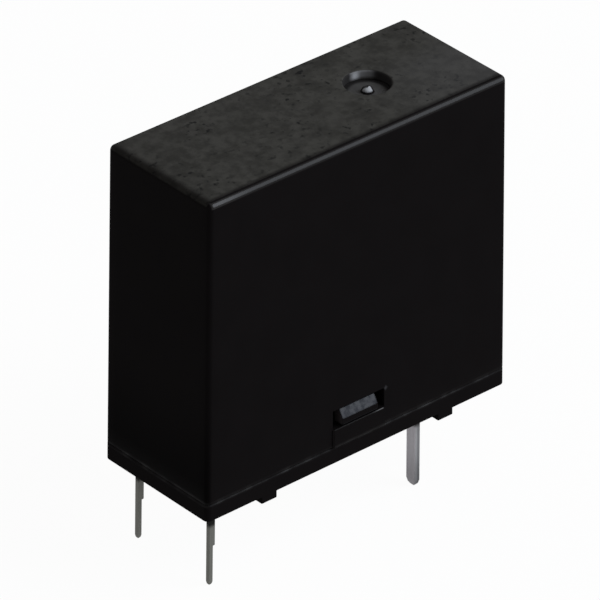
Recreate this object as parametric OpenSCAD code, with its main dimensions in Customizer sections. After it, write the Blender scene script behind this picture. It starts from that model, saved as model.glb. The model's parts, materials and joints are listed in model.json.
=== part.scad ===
// Slim one-pole power relay for a printed circuit board.
// X runs along the case from the coil pins to the contact pins, Y runs across the case
// and Z points up from the board. The origin lies on the board under the middle of the case.

/* [Case] */
// Length of the case
case_l = 24; // [23.4:0.1:26]
// Width of the case
case_w = 9.5; // [9.2:0.1:11]
// Height of the case above the board
case_h = 19.3; // [18:0.1:22]
// Thickness of the cover's side walls
wall_t = 0.6; // [0.5:0.05:0.75]
// Thickness of the cover's roof
roof_t = 0.8; // [0.6:0.05:1.1]
// Radius of the case's outer edges
edge_r = 0.35; // [0.1:0.05:0.5]

/* [Vent] */
// Distance of the vent from the middle of the case
vent_x = 4.9; // [3:0.1:8]
// Distance of the vent from the case's middle line, towards the rear
vent_y = 0.2; // [-0.4:0.1:0.4]
// Diameter of the vent's recess
vent_d = 3; // [2:0.1:4]
// Depth of the vent's recess
vent_depth = 0.6; // [0.4:0.05:0.9]
// Thickness of the wall round and under the recess
vent_wall = 0.5; // [0.3:0.05:0.8]
// Diameter of the cut-off nub in the recess
nub_d = 0.75; // [0.4:0.05:1.2]
// Height of the nub above the floor of the recess
nub_h = 0.35; // [0.1:0.05:0.4]

/* [Base] */
// Height of the feet
foot_h = 0.4; // [0.2:0.05:0.8]
// Length of a foot
foot_l = 1.2; // [0.8:0.1:2]
// Width of a foot
foot_w = 0.6; // [0.4:0.05:0.8]
// Distance between the feet along the case
foot_pitch = 14.2; // [10:0.1:18]
// Height of the rim that shows under the cover
rim_h = 1; // [0.7:0.05:1.2]
// Chamfer along the rim's upper edge
seam_cut = 0.1; // [0.05:0.01:0.15]
// Thickness of the base's floor
floor_t = 1.5; // [1.2:0.05:1.8]
// Height of the plug above the rim
plug_h = 1.4; // [1.1:0.05:1.5]
// Thickness of the plug's wall
plug_t = 0.6; // [0.4:0.05:0.7]
// Gap between the plug and the cover
plug_fit = 0.05; // [0.02:0.01:0.1]
// Depth of the recess for the sealing resin
pan_depth = 0.35; // [0.2:0.05:0.5]
// Width of the land round that recess
pan_land = 0.8; // [0.6:0.05:1]
// Thickness of the sealing resin
resin_t = 0.25; // [0.1:0.05:0.35]

/* [Latches] */
// Length of a latch window
window_l = 4.1; // [3.4:0.1:5]
// Height of a latch window
window_h = 1.05; // [1:0.05:1.3]
// Height of the sill strip under a window
sill_h = 1.1; // [0.9:0.05:1.2]
// How far the sill strip stands out of the cover's face
sill_proud = 0.15; // [0.05:0.01:0.25]
// Length of a latch nib
nib_l = 2.9; // [2.2:0.1:3.2]
// Height of the nib's upright face
nib_face = 0.35; // [0.2:0.05:0.4]
// Height of the nib's ramp
ramp_h = 0.5; // [0.3:0.05:0.55]
// Depth of the nib's ramp
ramp_run = 0.37; // [0.2:0.01:0.5]
// Gap between the nib and the sill
nib_fit = 0.1; // [0.03:0.01:0.12]

/* [Pins] */
// Length of the pins below the board's face
pin_drop = 4.35; // [2.5:0.05:6]
// Distance of the coil pins from the end of the case
coil_pin_inset = 1.45; // [1.3:0.05:1.8]
// Distance between the two coil pins
coil_pitch = 6.6; // [5:0.1:6.8]
// Side of a coil pin
coil_pin = 0.3; // [0.2:0.05:0.4]
// Width of a coil pin's root
coil_root = 0.45; // [0.4:0.05:0.5]
// Length of that root below the board's face
coil_root_drop = 2.05; // [0.5:0.05:2.5]
// Distance from the coil pins to the contact pins
pin_span = 16.55; // [16:0.05:18]
// Distance between the two contact pins
contact_pitch = 6.1; // [5.6:0.1:6.3]
// Width of a contact pin
contact_pin_w = 0.8; // [0.6:0.05:0.9]
// Thickness of the contact terminals
terminal_t = 0.4; // [0.3:0.05:0.5]
// Gap round a pin in its slot
slot_fit = 0.03; // [0.01:0.01:0.06]

/* [Coil] */
// Gap between the former and the cover
coil_fit = 0.2; // [0.1:0.05:0.4]
// Gap between the former and the yoke's leg
yoke_gap = 0.15; // [0.12:0.01:0.3]
// Thickness of the former's flanges
flange_t = 0.8; // [0.5:0.05:1]
// Outer diameter of the former's tube
tube_d = 3.8; // [3.4:0.1:4.2]
// Diameter of the iron core
core_d = 2.8; // [2.2:0.1:3]
// Gap between the core and the former
core_fit = 0.03; // [0.01:0.01:0.06]
// Diameter of the spigot that rivets the core to the yoke
spigot_d = 1.8; // [1.2:0.1:2]
// Diameter of the pole
pole_d = 5.2; // [4:0.1:6]
// Thickness of the pole
pole_t = 0.8; // [0.6:0.05:1]
// Bare edge of the flanges outside the winding
winding_inset = 0.375; // [0.2:0.025:0.8]
// Thickness of the tape round the winding
tape_t = 0.08; // [0.04:0.01:0.12]
// Height of the winding left bare below the tape
tape_bare = 1.2; // [1.1:0.1:2]
// Height of the block that holds the coil terminals
block_h = 1.7; // [1.4:0.1:1.9]
// Length of the wrapping posts above that block
post_h = 1.6; // [1.2:0.1:2]
// Diameter of the magnet wire
wire_d = 0.12; // [0.08:0.01:0.14]

/* [Magnet] */
// Distance of the yoke's outer face from the middle of the case, towards the coil
yoke_x = 0.85; // [0.6:0.05:1.2]
// Thickness of the yoke
yoke_t = 1; // [0.8:0.05:1.2]
// Gap between the yoke and the plug's wall
yoke_fit = 0.15; // [0.05:0.01:0.3]
// Inner radius of the bends in sheet metal
bend_r = 0.12; // [0.08:0.01:0.12]
// Room between the hinge edge and the roof
head_room = 2.6; // [2.4:0.1:3.4]
// Thickness of the armature
armature_t = 1; // [0.8:0.05:1.1]
// Reach of the armature's plate past the core's axis
armature_reach = 2.8; // [2:0.1:3.4]
// Angle of the armature's stroke
open_deg = 5.2; // [4:0.1:6]
// Gap between pole and armature when the magnet pulls
residual_gap = 0.04; // [0.02:0.01:0.08]
// Width of the armature's arm
arm_w = 2.6; // [2:0.1:2.8]
// Distance from the hinge edge down to the card
arm_drop = 4.4; // [4:0.1:5]
// Gap between the arm and the yoke
arm_gap = 0.15; // [0.13:0.01:0.3]
// Thickness of the hinge spring
leaf_t = 0.12; // [0.08:0.01:0.15]
// Width of each leg of the hinge spring
leaf_w = 1.1; // [0.8:0.1:1.3]
// Diameter of the stakes that hold the hinge spring
stake_d = 0.9; // [0.6:0.1:1.2]

/* [Contacts] */
// Height of the card
card_h = 1.2; // [0.8:0.1:1.5]
// Width of the card
card_w = 3.2; // [2.8:0.1:4]
// Width of the card's neck in the barrier
card_neck = 1.6; // [1:0.1:2.2]
// Gap between the card and the barrier
card_fit = 0.06; // [0.03:0.01:0.12]
// Gap between the card's noses and what they touch
card_play = 0.03; // [0.01:0.01:0.05]
// Thickness of the barrier between coil and contacts
barrier_t = 0.7; // [0.5:0.05:1]
// Thickness of the contact spring
spring_t = 0.18; // [0.12:0.01:0.25]
// Width of the contact spring at its root
spring_w = 4; // [3.4:0.1:4.2]
// Width of the contact spring at its head
spring_head = 3; // [2.7:0.1:3.4]
// Height of the spring's root above the base's floor
root_h = 3.3; // [3:0.1:4]
// Height of the contacts above the card
contact_rise = 1.9; // [1.7:0.1:2.2]
// Diameter of the contacts
contact_d = 2.6; // [2:0.1:2.6]
// Thickness of the contacts
contact_t = 0.6; // [0.4:0.05:0.8]
// Height of the moving contact's crown
crown_h = 0.25; // [0.2:0.01:0.3]
// Gap left between the contacts at the end of the stroke
closed_gap = 0.04; // [0.02:0.01:0.1]
// Diameter of the contacts' shanks
shank_d = 1.3; // [1:0.1:1.5]
// Diameter of the rivets at the spring's root
rivet_d = 0.8; // [0.6:0.05:1]
// Thickness of the rivets' heads
rivet_head = 0.3; // [0.2:0.05:0.4]
// Gap between a rivet or stake and its hole
rivet_fit = 0.02; // [0.01:0.01:0.03]

/* [Hidden] */
$fn = 48;
// Overshoot of cuts past the faces that they open
cut = 1;
front = -1;
rear = 1;

// Colours
case_black = "#1b1a1b";
pin_tin = "#8c8c90";
iron_plate = "#9a9a96";
spring_bronze = "#b98a4e";
contact_silver = "#d8d8d4";
former_cream = "#d9d3c3";

// Levels of the case and base
rim_z = foot_h + rim_h;
deck_z = foot_h + floor_t;
plug_z = rim_z + plug_h;
roof_z = case_h - roof_t;
inner_l = case_l - 2 * wall_t;
inner_w = case_w - 2 * wall_t;
plug_l = inner_l - 2 * plug_fit;
plug_w = inner_w - 2 * plug_fit;
pocket_l = plug_l - 2 * plug_t;
pocket_w = plug_w - 2 * plug_t;
pan_z = foot_h + pan_depth;

// Latch levels
sill_z = rim_z + sill_h;
nib_z = sill_z + nib_fit;
ramp_z = nib_z + nib_face;
nib_top = ramp_z + ramp_h;
nib_reach = wall_t + plug_fit + sill_proud;

// Places of the pins
coil_pin_x = coil_pin_inset - case_l / 2;
contact_x = coil_pin_x + pin_span;
coil_tip = 0.2;
contact_tip = 0.36;

// Coil and magnet
hinge_x = -yoke_x;
hinge_z = roof_z - head_room;
yoke_w = pocket_w - 2 * yoke_fit;
bobbin_w = inner_w - 2 * coil_fit;
block_front = 0.65;
block_rear = 0.6;
bobbin_x0 = coil_pin_x + block_rear;
bobbin_x1 = hinge_x - yoke_t - yoke_gap;
bobbin_l = bobbin_x1 - bobbin_x0;
coil_x = (bobbin_x0 + bobbin_x1) / 2;
bobbin_z = deck_z + yoke_t;
spool_z = bobbin_z + flange_t;
pole_z = hinge_z - pole_t;
upper_z = pole_z - flange_t;
winding_d = min(bobbin_l, bobbin_w) - 2 * winding_inset;
block_z = plug_z + block_h;
post_z = block_z + post_h;
corner_r = 0.5;

// Wire ends
wrap_turns = 5;
wrap_r = coil_pin / sqrt(2) + wire_d / 2 + slot_fit;
wrap_z = block_z + wire_d;
tail_r = winding_d / 2 + wire_d / 2;
post_at = [coil_pin_x - coil_x, coil_pitch / 2];
tail_turn = atan2(post_at.y, post_at.x) - acos(tail_r / norm(post_at));
tail_start = tail_r * [cos(tail_turn), sin(tail_turn)];
tail_end = post_at + wrap_r * (tail_start - post_at) / norm(tail_start - post_at);

// Armature, card and contacts
plate_l = hinge_x - coil_x + armature_reach;
arm_face = hinge_x + arm_gap + armature_t;
card_z = hinge_z - arm_drop;
stake_z = card_z - arm_drop;
travel = arm_drop * open_deg * PI / 180;
spring_x = contact_x - terminal_t / 2 - spring_t;
barrier_x = (arm_face + spring_x) / 2;
card_x0 = arm_face + card_play;
card_x1 = spring_x - card_play;
barrier_h = card_z + card_h / 2 - deck_z;
root_z = deck_z + root_h;
contact_z = card_z + contact_rise;
contact_travel = travel * (contact_z - root_z) / (card_z - root_z);
moving_face = spring_x + spring_t + contact_t;
fixed_face = moving_face + contact_travel + closed_gap;
fixed_x = fixed_face + contact_t + terminal_t / 2;
rivet_at = [spring_w / 4, root_z - rivet_d * 1.5];
rivet_head_d = rivet_d * 1.7;
tail_head_d = shank_d * 1.4;

// Carries a profile drawn in X and Z across the case
module across(w) {
    rotate([90, 0, 0]) linear_extrude(w, center = true) children();
}

// Carries a profile drawn in Y and Z along the case
module along(l) {
    rotate([90, 0, 90]) linear_extrude(l, center = true) children();
}

// Rectangle with four round corners
module round_rect(l, w, r) {
    square([l - 2 * r, w], center = true);
    square([l, w - 2 * r], center = true);
    for (x = [-1, 1], y = [-1, 1])
        translate([x * (l / 2 - r), y * (w / 2 - r)]) circle(r);
}

// Upright rectangle with both upper corners round
module arch(w, z0, z1, r) {
    translate([-w / 2, z0]) square([w, z1 - z0 - r]);
    translate([r - w / 2, z0]) square([w - 2 * r, z1 - z0]);
    for (x = [-1, 1])
        translate([x * (w / 2 - r), z1 - r]) circle(r);
}

// Upright rectangle with both upper corners cut
module cut_rect(w, z0, z1, c) {
    polygon([
        [-w / 2, z0], [w / 2, z0], [w / 2, z1 - c],
        [w / 2 - c, z1], [c - w / 2, z1], [-w / 2, z1 - c]
    ]);
}

// Upright blade whose lower end narrows in two steps to a blunt nose
module blade_outline(w, z0, z1, tip) {
    half = w / 2;
    mid = z0 + 0.4 * tip;
    polygon([
        [-0.4 * half, z0], [0.4 * half, z0], [0.8 * half, mid], [half, z0 + tip],
        [half, z1], [-half, z1], [-half, z0 + tip], [-0.8 * half, mid]
    ]);
}

// Square or flat pin, its nose narrowed on all four sides
module pin(l, w, z0, z1, tip) {
    intersection() {
        across(w) blade_outline(l, z0, z1, tip);
        along(l) blade_outline(w, z0, z1, tip);
    }
}

// Path with each inner corner replaced by an arc of radius r
function unit(v) = v / norm(v);
function turned(v, a) = [v.x * cos(a) - v.y * sin(a), v.x * sin(a) + v.y * cos(a)];
function bend(a, b, c, r, steps = 6) =
    let(
        u = unit(a - b),
        w = unit(c - b),
        half = acos(u * w) / 2,
        centre = b + unit(u + w) * r / sin(half),
        start = b + u * r / tan(half) - centre,
        way = sign(cross(u, w))
    )
    [for (k = [0:steps]) centre + turned(start, -way * (180 - 2 * half) * k / steps)];
function bent(p, r) = [
    p[0],
    for (i = [1:len(p) - 2]) each bend(p[i - 1], p[i], p[i + 1], r),
    p[len(p) - 1]
];

// Outline of a sheet of thickness t that follows a path
function normal(a, b) = let(d = unit(b - a)) [-d.y, d.x];
function side(p, i) =
    let(
        n0 = normal(p[max(i - 1, 0)], p[max(i, 1)]),
        n1 = normal(p[min(i, len(p) - 2)], p[min(i + 1, len(p) - 1)])
    )
    (n0 + n1) / (1 + n0 * n1);
function sheet(p, t) = [
    for (i = [0:len(p) - 1]) p[i] + side(p, i) * t / 2,
    for (i = [len(p) - 1:-1:0]) p[i] - side(p, i) * t / 2
];

// Straight round wire from a to b
module wire(a, b, d) {
    v = b - a;
    translate(a) rotate([0, acos(v.z / norm(v)), atan2(v.y, v.x)]) cylinder(d = d, h = norm(v));
}

// Rod along X between two planes
module rod(x0, x1, d) {
    translate([x0, 0, 0]) rotate([0, 90, 0]) cylinder(d = d, h = x1 - x0);
}

// Outer form of the cover, with round upright and upper edges
module cover_form() {
    intersection() {
        translate([0, 0, rim_z]) linear_extrude(case_h - rim_z) round_rect(case_l, case_w, edge_r);
        across(case_w) arch(case_l, rim_z, case_h, edge_r);
        along(case_l) arch(case_w, rim_z, case_h, edge_r);
    }
}

module cover() {
    boss_z = case_h - vent_depth - vent_wall;
    color(case_black) difference() {
        union() {
            difference() {
                union() {
                    cover_form();
                    for (y = [front, rear])
                        translate([-window_l / 2, y * (case_w + sill_proud) / 2 - sill_proud / 2, rim_z])
                            cube([window_l, sill_proud, sill_h]);
                }
                translate([-inner_l / 2, -inner_w / 2, rim_z - cut])
                    cube([inner_l, inner_w, roof_z - rim_z + cut]);
            }
            translate([vent_x, vent_y, boss_z]) cylinder(d = vent_d + 2 * vent_wall, h = roof_z - boss_z);
        }
        translate([-window_l / 2, -case_w / 2 - cut, sill_z]) cube([window_l, case_w + 2 * cut, window_h]);
        translate([vent_x, vent_y, case_h - vent_depth]) difference() {
            cylinder(d = vent_d, h = vent_depth + cut);
            cylinder(d = nub_d, h = nub_h);
        }
    }
}

// Latch nib on its tower, on the rear side
module latch() {
    y0 = pocket_w / 2;
    y1 = plug_w / 2;
    along(nib_l) polygon([
        [y0, deck_z], [y1, deck_z], [y1, nib_z], [y1 + nib_reach, nib_z], [y1 + nib_reach, ramp_z],
        [y1 + nib_reach - ramp_run, nib_top], [y0, nib_top]
    ]);
}

// Slot for the neck of the card, open at the top of the barrier
module card_slot() {
    z0 = card_z - card_h / 2 - card_fit;
    translate([barrier_x - barrier_t, -card_neck / 2 - card_fit, z0])
        cube([2 * barrier_t, card_neck + 2 * card_fit, card_h + cut]);
}

// Everything of the base above its rim
module base_inside() {
    difference() {
        translate([-plug_l / 2, -plug_w / 2, rim_z - seam_cut]) cube([plug_l, plug_w, plug_h + seam_cut]);
        translate([-pocket_l / 2, -pocket_w / 2, deck_z]) cube([pocket_l, pocket_w, plug_h + cut]);
    }
    latch();
    mirror([0, 1, 0]) latch();
    difference() {
        translate([barrier_x - barrier_t / 2, -pocket_w / 2, deck_z]) cube([barrier_t, pocket_w, barrier_h]);
        card_slot();
    }
    // Rest behind the fixed terminal
    translate([fixed_x + terminal_t / 2, -spring_w / 2, deck_z]) cube([barrier_t, spring_w, root_h]);
}

// Slots for the four terminals, wider than the pins by the given gap
module terminal_slots(gap) {
    for (y = [front, rear]) {
        translate([coil_pin_x - coil_pin / 2 - gap, y * coil_pitch / 2 - coil_pin / 2 - gap, 0])
            cube([coil_root + 2 * gap, coil_pin + 2 * gap, plug_z]);
        translate([contact_x - terminal_t / 2 - gap, y * contact_pitch / 2 - contact_pin_w / 2 - gap, 0])
            cube([terminal_t + 2 * gap, contact_pin_w + 2 * gap, plug_z]);
    }
}

// Relief in the deck for the inner bend of the fixed terminal
module bend_relief() {
    deep = bend_r + slot_fit;
    wide = contact_pin_w + 2 * slot_fit;
    translate([contact_x + terminal_t / 2, rear * contact_pitch / 2 - wide / 2, deck_z - deep])
        cube([deep, wide, deep + cut]);
}

module base() {
    color(case_black) difference() {
        union() {
            intersection() {
                translate([0, 0, foot_h]) linear_extrude(rim_h) round_rect(case_l, case_w, edge_r);
                across(case_w) cut_rect(case_l, foot_h, rim_z, seam_cut);
                along(case_l) cut_rect(case_w, foot_h, rim_z, seam_cut);
            }
            base_inside();
            for (x = [-1, 1], y = [front, rear])
                translate([x * foot_pitch / 2, y * (case_w - foot_w) / 2, foot_h / 2 + seam_cut / 2])
                    cube([foot_l, foot_w, foot_h + seam_cut], center = true);
        }
        translate([pan_land - case_l / 2, pan_land - case_w / 2, foot_h - cut])
            cube([case_l - 2 * pan_land, case_w - 2 * pan_land, pan_depth + cut]);
        terminal_slots(slot_fit);
        bend_relief();
    }
}

module sealing_resin() {
    color("#2a2622") difference() {
        translate([pan_land - case_l / 2, pan_land - case_w / 2, pan_z - resin_t])
            cube([case_l - 2 * pan_land, case_w - 2 * pan_land, resin_t]);
        terminal_slots(0);
    }
}

module coil_terminal(y) {
    color(pin_tin) translate([coil_pin_x, y * coil_pitch / 2, 0]) {
        pin(coil_pin, coil_pin, -pin_drop, post_z, coil_tip);
        translate([-coil_pin / 2, -coil_pin / 2, -coil_root_drop])
            cube([coil_root, coil_pin, coil_root_drop + deck_z]);
    }
}

module coil_terminal_front() {
    coil_terminal(front);
}

module coil_terminal_rear() {
    coil_terminal(rear);
}

module bobbin() {
    color(former_cream) difference() {
        union() {
            for (z = [bobbin_z, upper_z])
                translate([coil_x, 0, z]) linear_extrude(flange_t) round_rect(bobbin_l, bobbin_w, corner_r);
            translate([coil_x, 0, bobbin_z]) cylinder(d = tube_d, h = pole_z - bobbin_z);
            translate([coil_pin_x - block_front, -bobbin_w / 2, plug_z])
                cube([block_front + block_rear, bobbin_w, block_h]);
            // Web between the block and the lower flange
            translate([coil_pin_x, -yoke_w / 2, bobbin_z])
                cube([block_rear + corner_r, yoke_w, flange_t]);
        }
        translate([coil_x, 0, bobbin_z - cut]) cylinder(d = core_d + 2 * core_fit, h = pole_z);
        for (y = [front, rear])
            translate([coil_pin_x, y * coil_pitch / 2, plug_z])
                cube([coil_pin + 2 * slot_fit, coil_pin + 2 * slot_fit, 4 * block_h], center = true);
    }
}

module winding() {
    color("#b4672f") translate([coil_x, 0, spool_z]) difference() {
        cylinder(d = winding_d, h = upper_z - spool_z);
        translate([0, 0, -cut]) cylinder(d = tube_d, h = upper_z);
    }
}

module winding_tape() {
    color("#c9a227") translate([coil_x, 0, spool_z + tape_bare]) difference() {
        cylinder(d = winding_d + 2 * tape_t, h = upper_z - spool_z - tape_bare);
        translate([0, 0, -cut]) cylinder(d = winding_d, h = upper_z);
    }
}

// Wire end on the rear side: off the winding, then round its post
module coil_tail() {
    color("#b4672f") translate([coil_x, 0, wrap_z]) {
        wire([tail_start.x, tail_start.y, 0], [tail_end.x, tail_end.y, 0], wire_d);
        translate(post_at) rotate_extrude() {
            for (i = [0:wrap_turns - 1])
                translate([wrap_r, i * wire_d]) circle(d = wire_d);
            translate([wrap_r - wire_d / 4, 0]) square([wire_d / 2, (wrap_turns - 1) * wire_d]);
        }
    }
}

module coil_tail_front() {
    mirror([0, 1, 0]) coil_tail();
}

module coil_tail_rear() {
    coil_tail();
}

// Solder on a post above the wrapped wire
module solder(y) {
    z0 = wrap_z + (wrap_turns - 0.5) * wire_d;
    h = post_z - z0;
    color("#b9bcc0") translate([coil_pin_x, y * coil_pitch / 2, z0]) difference() {
        rotate_extrude() intersection() {
            translate([0, h * 0.4]) circle(h * 0.6);
            square([wrap_r + wire_d, h]);
        }
        translate([-coil_pin / 2, -coil_pin / 2, -cut]) cube([coil_pin, coil_pin, post_z]);
    }
}

module solder_front() {
    solder(front);
}

module solder_rear() {
    solder(rear);
}

module iron_core() {
    color(iron_plate) translate([coil_x, 0, 0]) {
        translate([0, 0, deck_z + rivet_fit]) cylinder(d = spigot_d, h = bobbin_z - deck_z);
        translate([0, 0, bobbin_z]) cylinder(d = core_d, h = hinge_z - bobbin_z);
        translate([0, 0, pole_z]) cylinder(d = pole_d, h = pole_t);
    }
}

module yoke() {
    leg_x = hinge_x - yoke_t / 2;
    foot_z = deck_z + yoke_t / 2;
    path = [[coil_x - armature_reach, foot_z], [leg_x, foot_z], [leg_x, hinge_z]];
    color(iron_plate) {
        difference() {
            across(yoke_w) polygon(sheet(bent(path, bend_r + yoke_t / 2), yoke_t));
            translate([coil_x, 0, 0]) cylinder(d = spigot_d + 2 * rivet_fit, h = hinge_z);
        }
        for (y = [front, rear])
            translate([hinge_x - yoke_t / 2, y * arm_w / 2, stake_z]) rod(0, yoke_t / 2 + 2 * leaf_t, stake_d);
    }
}

// Side view of the armature at rest, about the hinge edge
module armature_outline() {
    middle = residual_gap + armature_t / 2;
    arm_x = arm_gap + armature_t / 2;
    plate = turned([-plate_l, middle], -open_deg);
    knee = [arm_x, (middle - arm_x * sin(open_deg)) / cos(open_deg)];
    tip = [arm_x, -arm_drop - card_h / 2];
    polygon(sheet(bent([plate, knee, tip], bend_r + armature_t / 2), armature_t));
}

module armature() {
    color(iron_plate) translate([hinge_x, 0, hinge_z]) {
        across(yoke_w) intersection() {
            armature_outline();
            translate([-2 * plate_l, -plate_l]) square([2 * plate_l, 2 * plate_l]);
        }
        across(arm_w) armature_outline();
    }
}

// Leaf over the yoke's back and the armature's knee, with two legs beside the arm
module hinge_spring() {
    lift = residual_gap + armature_t + leaf_t;
    out = arm_gap + 2 * leaf_t;
    top = (lift - out * sin(open_deg)) / cos(open_deg);
    hook = turned([-2 * yoke_t, lift], -open_deg);
    low = [leaf_t / 2, stake_z - hinge_z - stake_d];
    mid = [leaf_t / 2, stake_z - hinge_z + stake_d];
    legs = [low, mid, [leaf_t / 2, -yoke_t], [out, -yoke_t / 2], [out, top], hook];
    full_w = arm_w + 2 * slot_fit + 2 * leaf_w + leaf_t;
    color("#c8c6bd") translate([hinge_x, 0, hinge_z]) difference() {
        union() {
            for (y = [front, rear])
                translate([0, y * (full_w - leaf_w) / 2, 0]) across(leaf_w) polygon(sheet(legs, leaf_t));
            across(full_w) polygon(sheet([low, mid], leaf_t));
            across(full_w) polygon(sheet([hook, hook + unit([out, top] - hook) * yoke_t / 2], leaf_t));
        }
        for (y = [front, rear])
            translate([0, y * arm_w / 2, stake_z - hinge_z]) rod(-cut, cut, stake_d + 2 * rivet_fit);
    }
}

module card() {
    r = card_h / 2;
    neck_x0 = barrier_x - barrier_t / 2 - travel - 2 * card_fit;
    neck_x1 = barrier_x + barrier_t / 2 + 2 * card_fit;
    color("#e6e2d6") translate([0, 0, card_z]) difference() {
        across(card_w) {
            translate([card_x0 + r, -r]) square([card_x1 - card_x0 - 2 * r, card_h]);
            for (x = [card_x0 + r, card_x1 - r])
                translate([x, 0]) circle(r);
        }
        for (y = [front, rear])
            translate([neck_x0, y * (card_neck + card_w) / 2 - card_w / 2, -card_h])
                cube([neck_x1 - neck_x0, card_w, 2 * card_h]);
    }
}

// Holes for the two rivets at the spring's root
module rivet_holes() {
    for (y = [front, rear])
        translate([y * rivet_at.x, rivet_at.y]) circle(d = rivet_d + 2 * rivet_fit);
}

module moving_terminal() {
    pin_y = front * contact_pitch / 2;
    color(pin_tin) translate([contact_x, 0, 0]) {
        translate([0, pin_y, 0]) pin(terminal_t, contact_pin_w, -pin_drop, deck_z + terminal_t, contact_tip);
        along(terminal_t) difference() {
            translate([pin_y - contact_pin_w / 2, deck_z])
                square([spring_w / 2 - pin_y + contact_pin_w / 2, root_h]);
            rivet_holes();
        }
    }
}

module contact_spring() {
    color(spring_bronze) translate([spring_x + spring_t / 2, 0, 0]) along(spring_t) difference() {
        union() {
            polygon([
                [-spring_w / 2, deck_z + terminal_t], [spring_w / 2, deck_z + terminal_t],
                [spring_w / 2, root_z], [spring_head / 2, contact_z], [-spring_head / 2, contact_z],
                [-spring_w / 2, root_z]
            ]);
            translate([0, contact_z]) circle(d = spring_head);
        }
        rivet_holes();
        translate([0, contact_z]) circle(d = shank_d + 2 * rivet_fit);
    }
}

module spring_rivets() {
    back = contact_x + terminal_t / 2;
    color(spring_bronze) for (y = [front, rear])
        translate([0, y * rivet_at.x, rivet_at.y]) {
            rod(spring_x - rivet_head, back + rivet_head, rivet_d);
            rod(spring_x - rivet_head, spring_x, rivet_head_d);
            rod(back, back + rivet_head, rivet_head_d);
        }
}

// Revolved about X, with the crown towards the fixed contact
module moving_contact() {
    crown_r = (pow(contact_d / 2, 2) + pow(crown_h, 2)) / (2 * crown_h);
    tail = spring_t + rivet_head;
    color(contact_silver) translate([spring_x + spring_t, 0, contact_z]) rotate([0, 90, 0]) rotate_extrude() {
        intersection() {
            square([contact_d / 2, contact_t]);
            translate([0, contact_t - crown_r]) circle(crown_r, $fn = 96);
        }
        translate([0, -tail]) square([shank_d / 2, tail]);
        translate([0, -tail]) square([tail_head_d / 2, rivet_head]);
    }
}

module fixed_terminal() {
    pin_y = rear * contact_pitch / 2;
    foot_z = deck_z + terminal_t / 2;
    low_z = deck_z + 2 * terminal_t;
    top_z = contact_z + contact_d * 0.7;
    inner_y = -spring_w / 2;
    outer_y = pin_y + contact_pin_w / 2;
    path = [[contact_x, pan_z], [contact_x, foot_z], [fixed_x, foot_z], [fixed_x, root_z]];
    color(pin_tin) {
        translate([contact_x, pin_y, 0]) pin(terminal_t, contact_pin_w, -pin_drop, pan_z, contact_tip);
        translate([0, pin_y, 0]) across(contact_pin_w)
            polygon(sheet(bent(path, bend_r + terminal_t / 2), terminal_t));
        translate([fixed_x, 0, 0]) along(terminal_t) difference() {
            translate([inner_y, low_z]) square([outer_y - inner_y, top_z - low_z]);
            translate([0, contact_z]) circle(d = shank_d + 2 * rivet_fit);
        }
    }
}

module fixed_contact() {
    back = fixed_x + terminal_t / 2;
    color(contact_silver) translate([0, 0, contact_z]) {
        rod(fixed_face, fixed_face + contact_t, contact_d);
        rod(fixed_face, back + rivet_head, shank_d);
        rod(back, back + rivet_head, tail_head_d);
    }
}

cover();
base();
sealing_resin();
coil_terminal_front();
coil_terminal_rear();
bobbin();
winding();
winding_tape();
coil_tail_front();
coil_tail_rear();
solder_front();
solder_rear();
iron_core();
yoke();
armature();
hinge_spring();
card();
moving_terminal();
contact_spring();
spring_rivets();
moving_contact();
fixed_terminal();
fixed_contact();
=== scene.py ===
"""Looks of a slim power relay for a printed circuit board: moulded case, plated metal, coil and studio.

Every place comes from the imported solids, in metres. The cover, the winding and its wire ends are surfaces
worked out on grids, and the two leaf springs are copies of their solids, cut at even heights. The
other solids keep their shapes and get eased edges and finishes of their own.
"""

import json
import math

import bmesh
import bpy
import numpy as np
from mathutils import Matrix, Vector


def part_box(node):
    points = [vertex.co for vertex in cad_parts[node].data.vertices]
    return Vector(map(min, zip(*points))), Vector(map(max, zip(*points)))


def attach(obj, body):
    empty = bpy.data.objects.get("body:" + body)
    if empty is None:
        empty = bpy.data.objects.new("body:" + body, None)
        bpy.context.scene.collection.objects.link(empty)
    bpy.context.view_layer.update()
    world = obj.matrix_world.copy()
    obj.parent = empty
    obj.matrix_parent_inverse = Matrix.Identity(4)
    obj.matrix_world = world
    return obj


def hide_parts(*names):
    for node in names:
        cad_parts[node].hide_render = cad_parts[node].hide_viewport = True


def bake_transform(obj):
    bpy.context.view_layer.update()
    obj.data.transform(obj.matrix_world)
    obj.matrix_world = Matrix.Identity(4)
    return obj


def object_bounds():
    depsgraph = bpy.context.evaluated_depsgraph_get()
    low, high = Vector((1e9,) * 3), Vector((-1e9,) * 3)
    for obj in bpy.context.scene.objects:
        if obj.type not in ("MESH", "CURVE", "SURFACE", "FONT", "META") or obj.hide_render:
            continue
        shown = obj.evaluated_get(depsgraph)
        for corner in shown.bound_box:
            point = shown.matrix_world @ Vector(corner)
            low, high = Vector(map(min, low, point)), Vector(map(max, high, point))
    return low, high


bl_info = {
    "name": "Board relay looks",
    "version": (1, 0, 0),
    "blender": (4, 5, 0),
    "location": "View3D > Sidebar > Relay",
    "description": "Moulded case, plated metal, coil and studio of a slim board relay",
    "category": "Object",
}

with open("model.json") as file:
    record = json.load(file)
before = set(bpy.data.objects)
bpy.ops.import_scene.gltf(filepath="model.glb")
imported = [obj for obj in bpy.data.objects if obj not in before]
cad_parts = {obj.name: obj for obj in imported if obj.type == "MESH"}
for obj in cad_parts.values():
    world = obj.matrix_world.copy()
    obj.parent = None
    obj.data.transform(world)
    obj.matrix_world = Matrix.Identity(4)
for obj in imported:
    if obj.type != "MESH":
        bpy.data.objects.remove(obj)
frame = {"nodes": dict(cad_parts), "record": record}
NODES = frame["nodes"]
CAD_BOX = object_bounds()
MM = 0.001
MICRON = 0.000001
SMOOTH_BELOW = math.radians(30)
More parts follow.
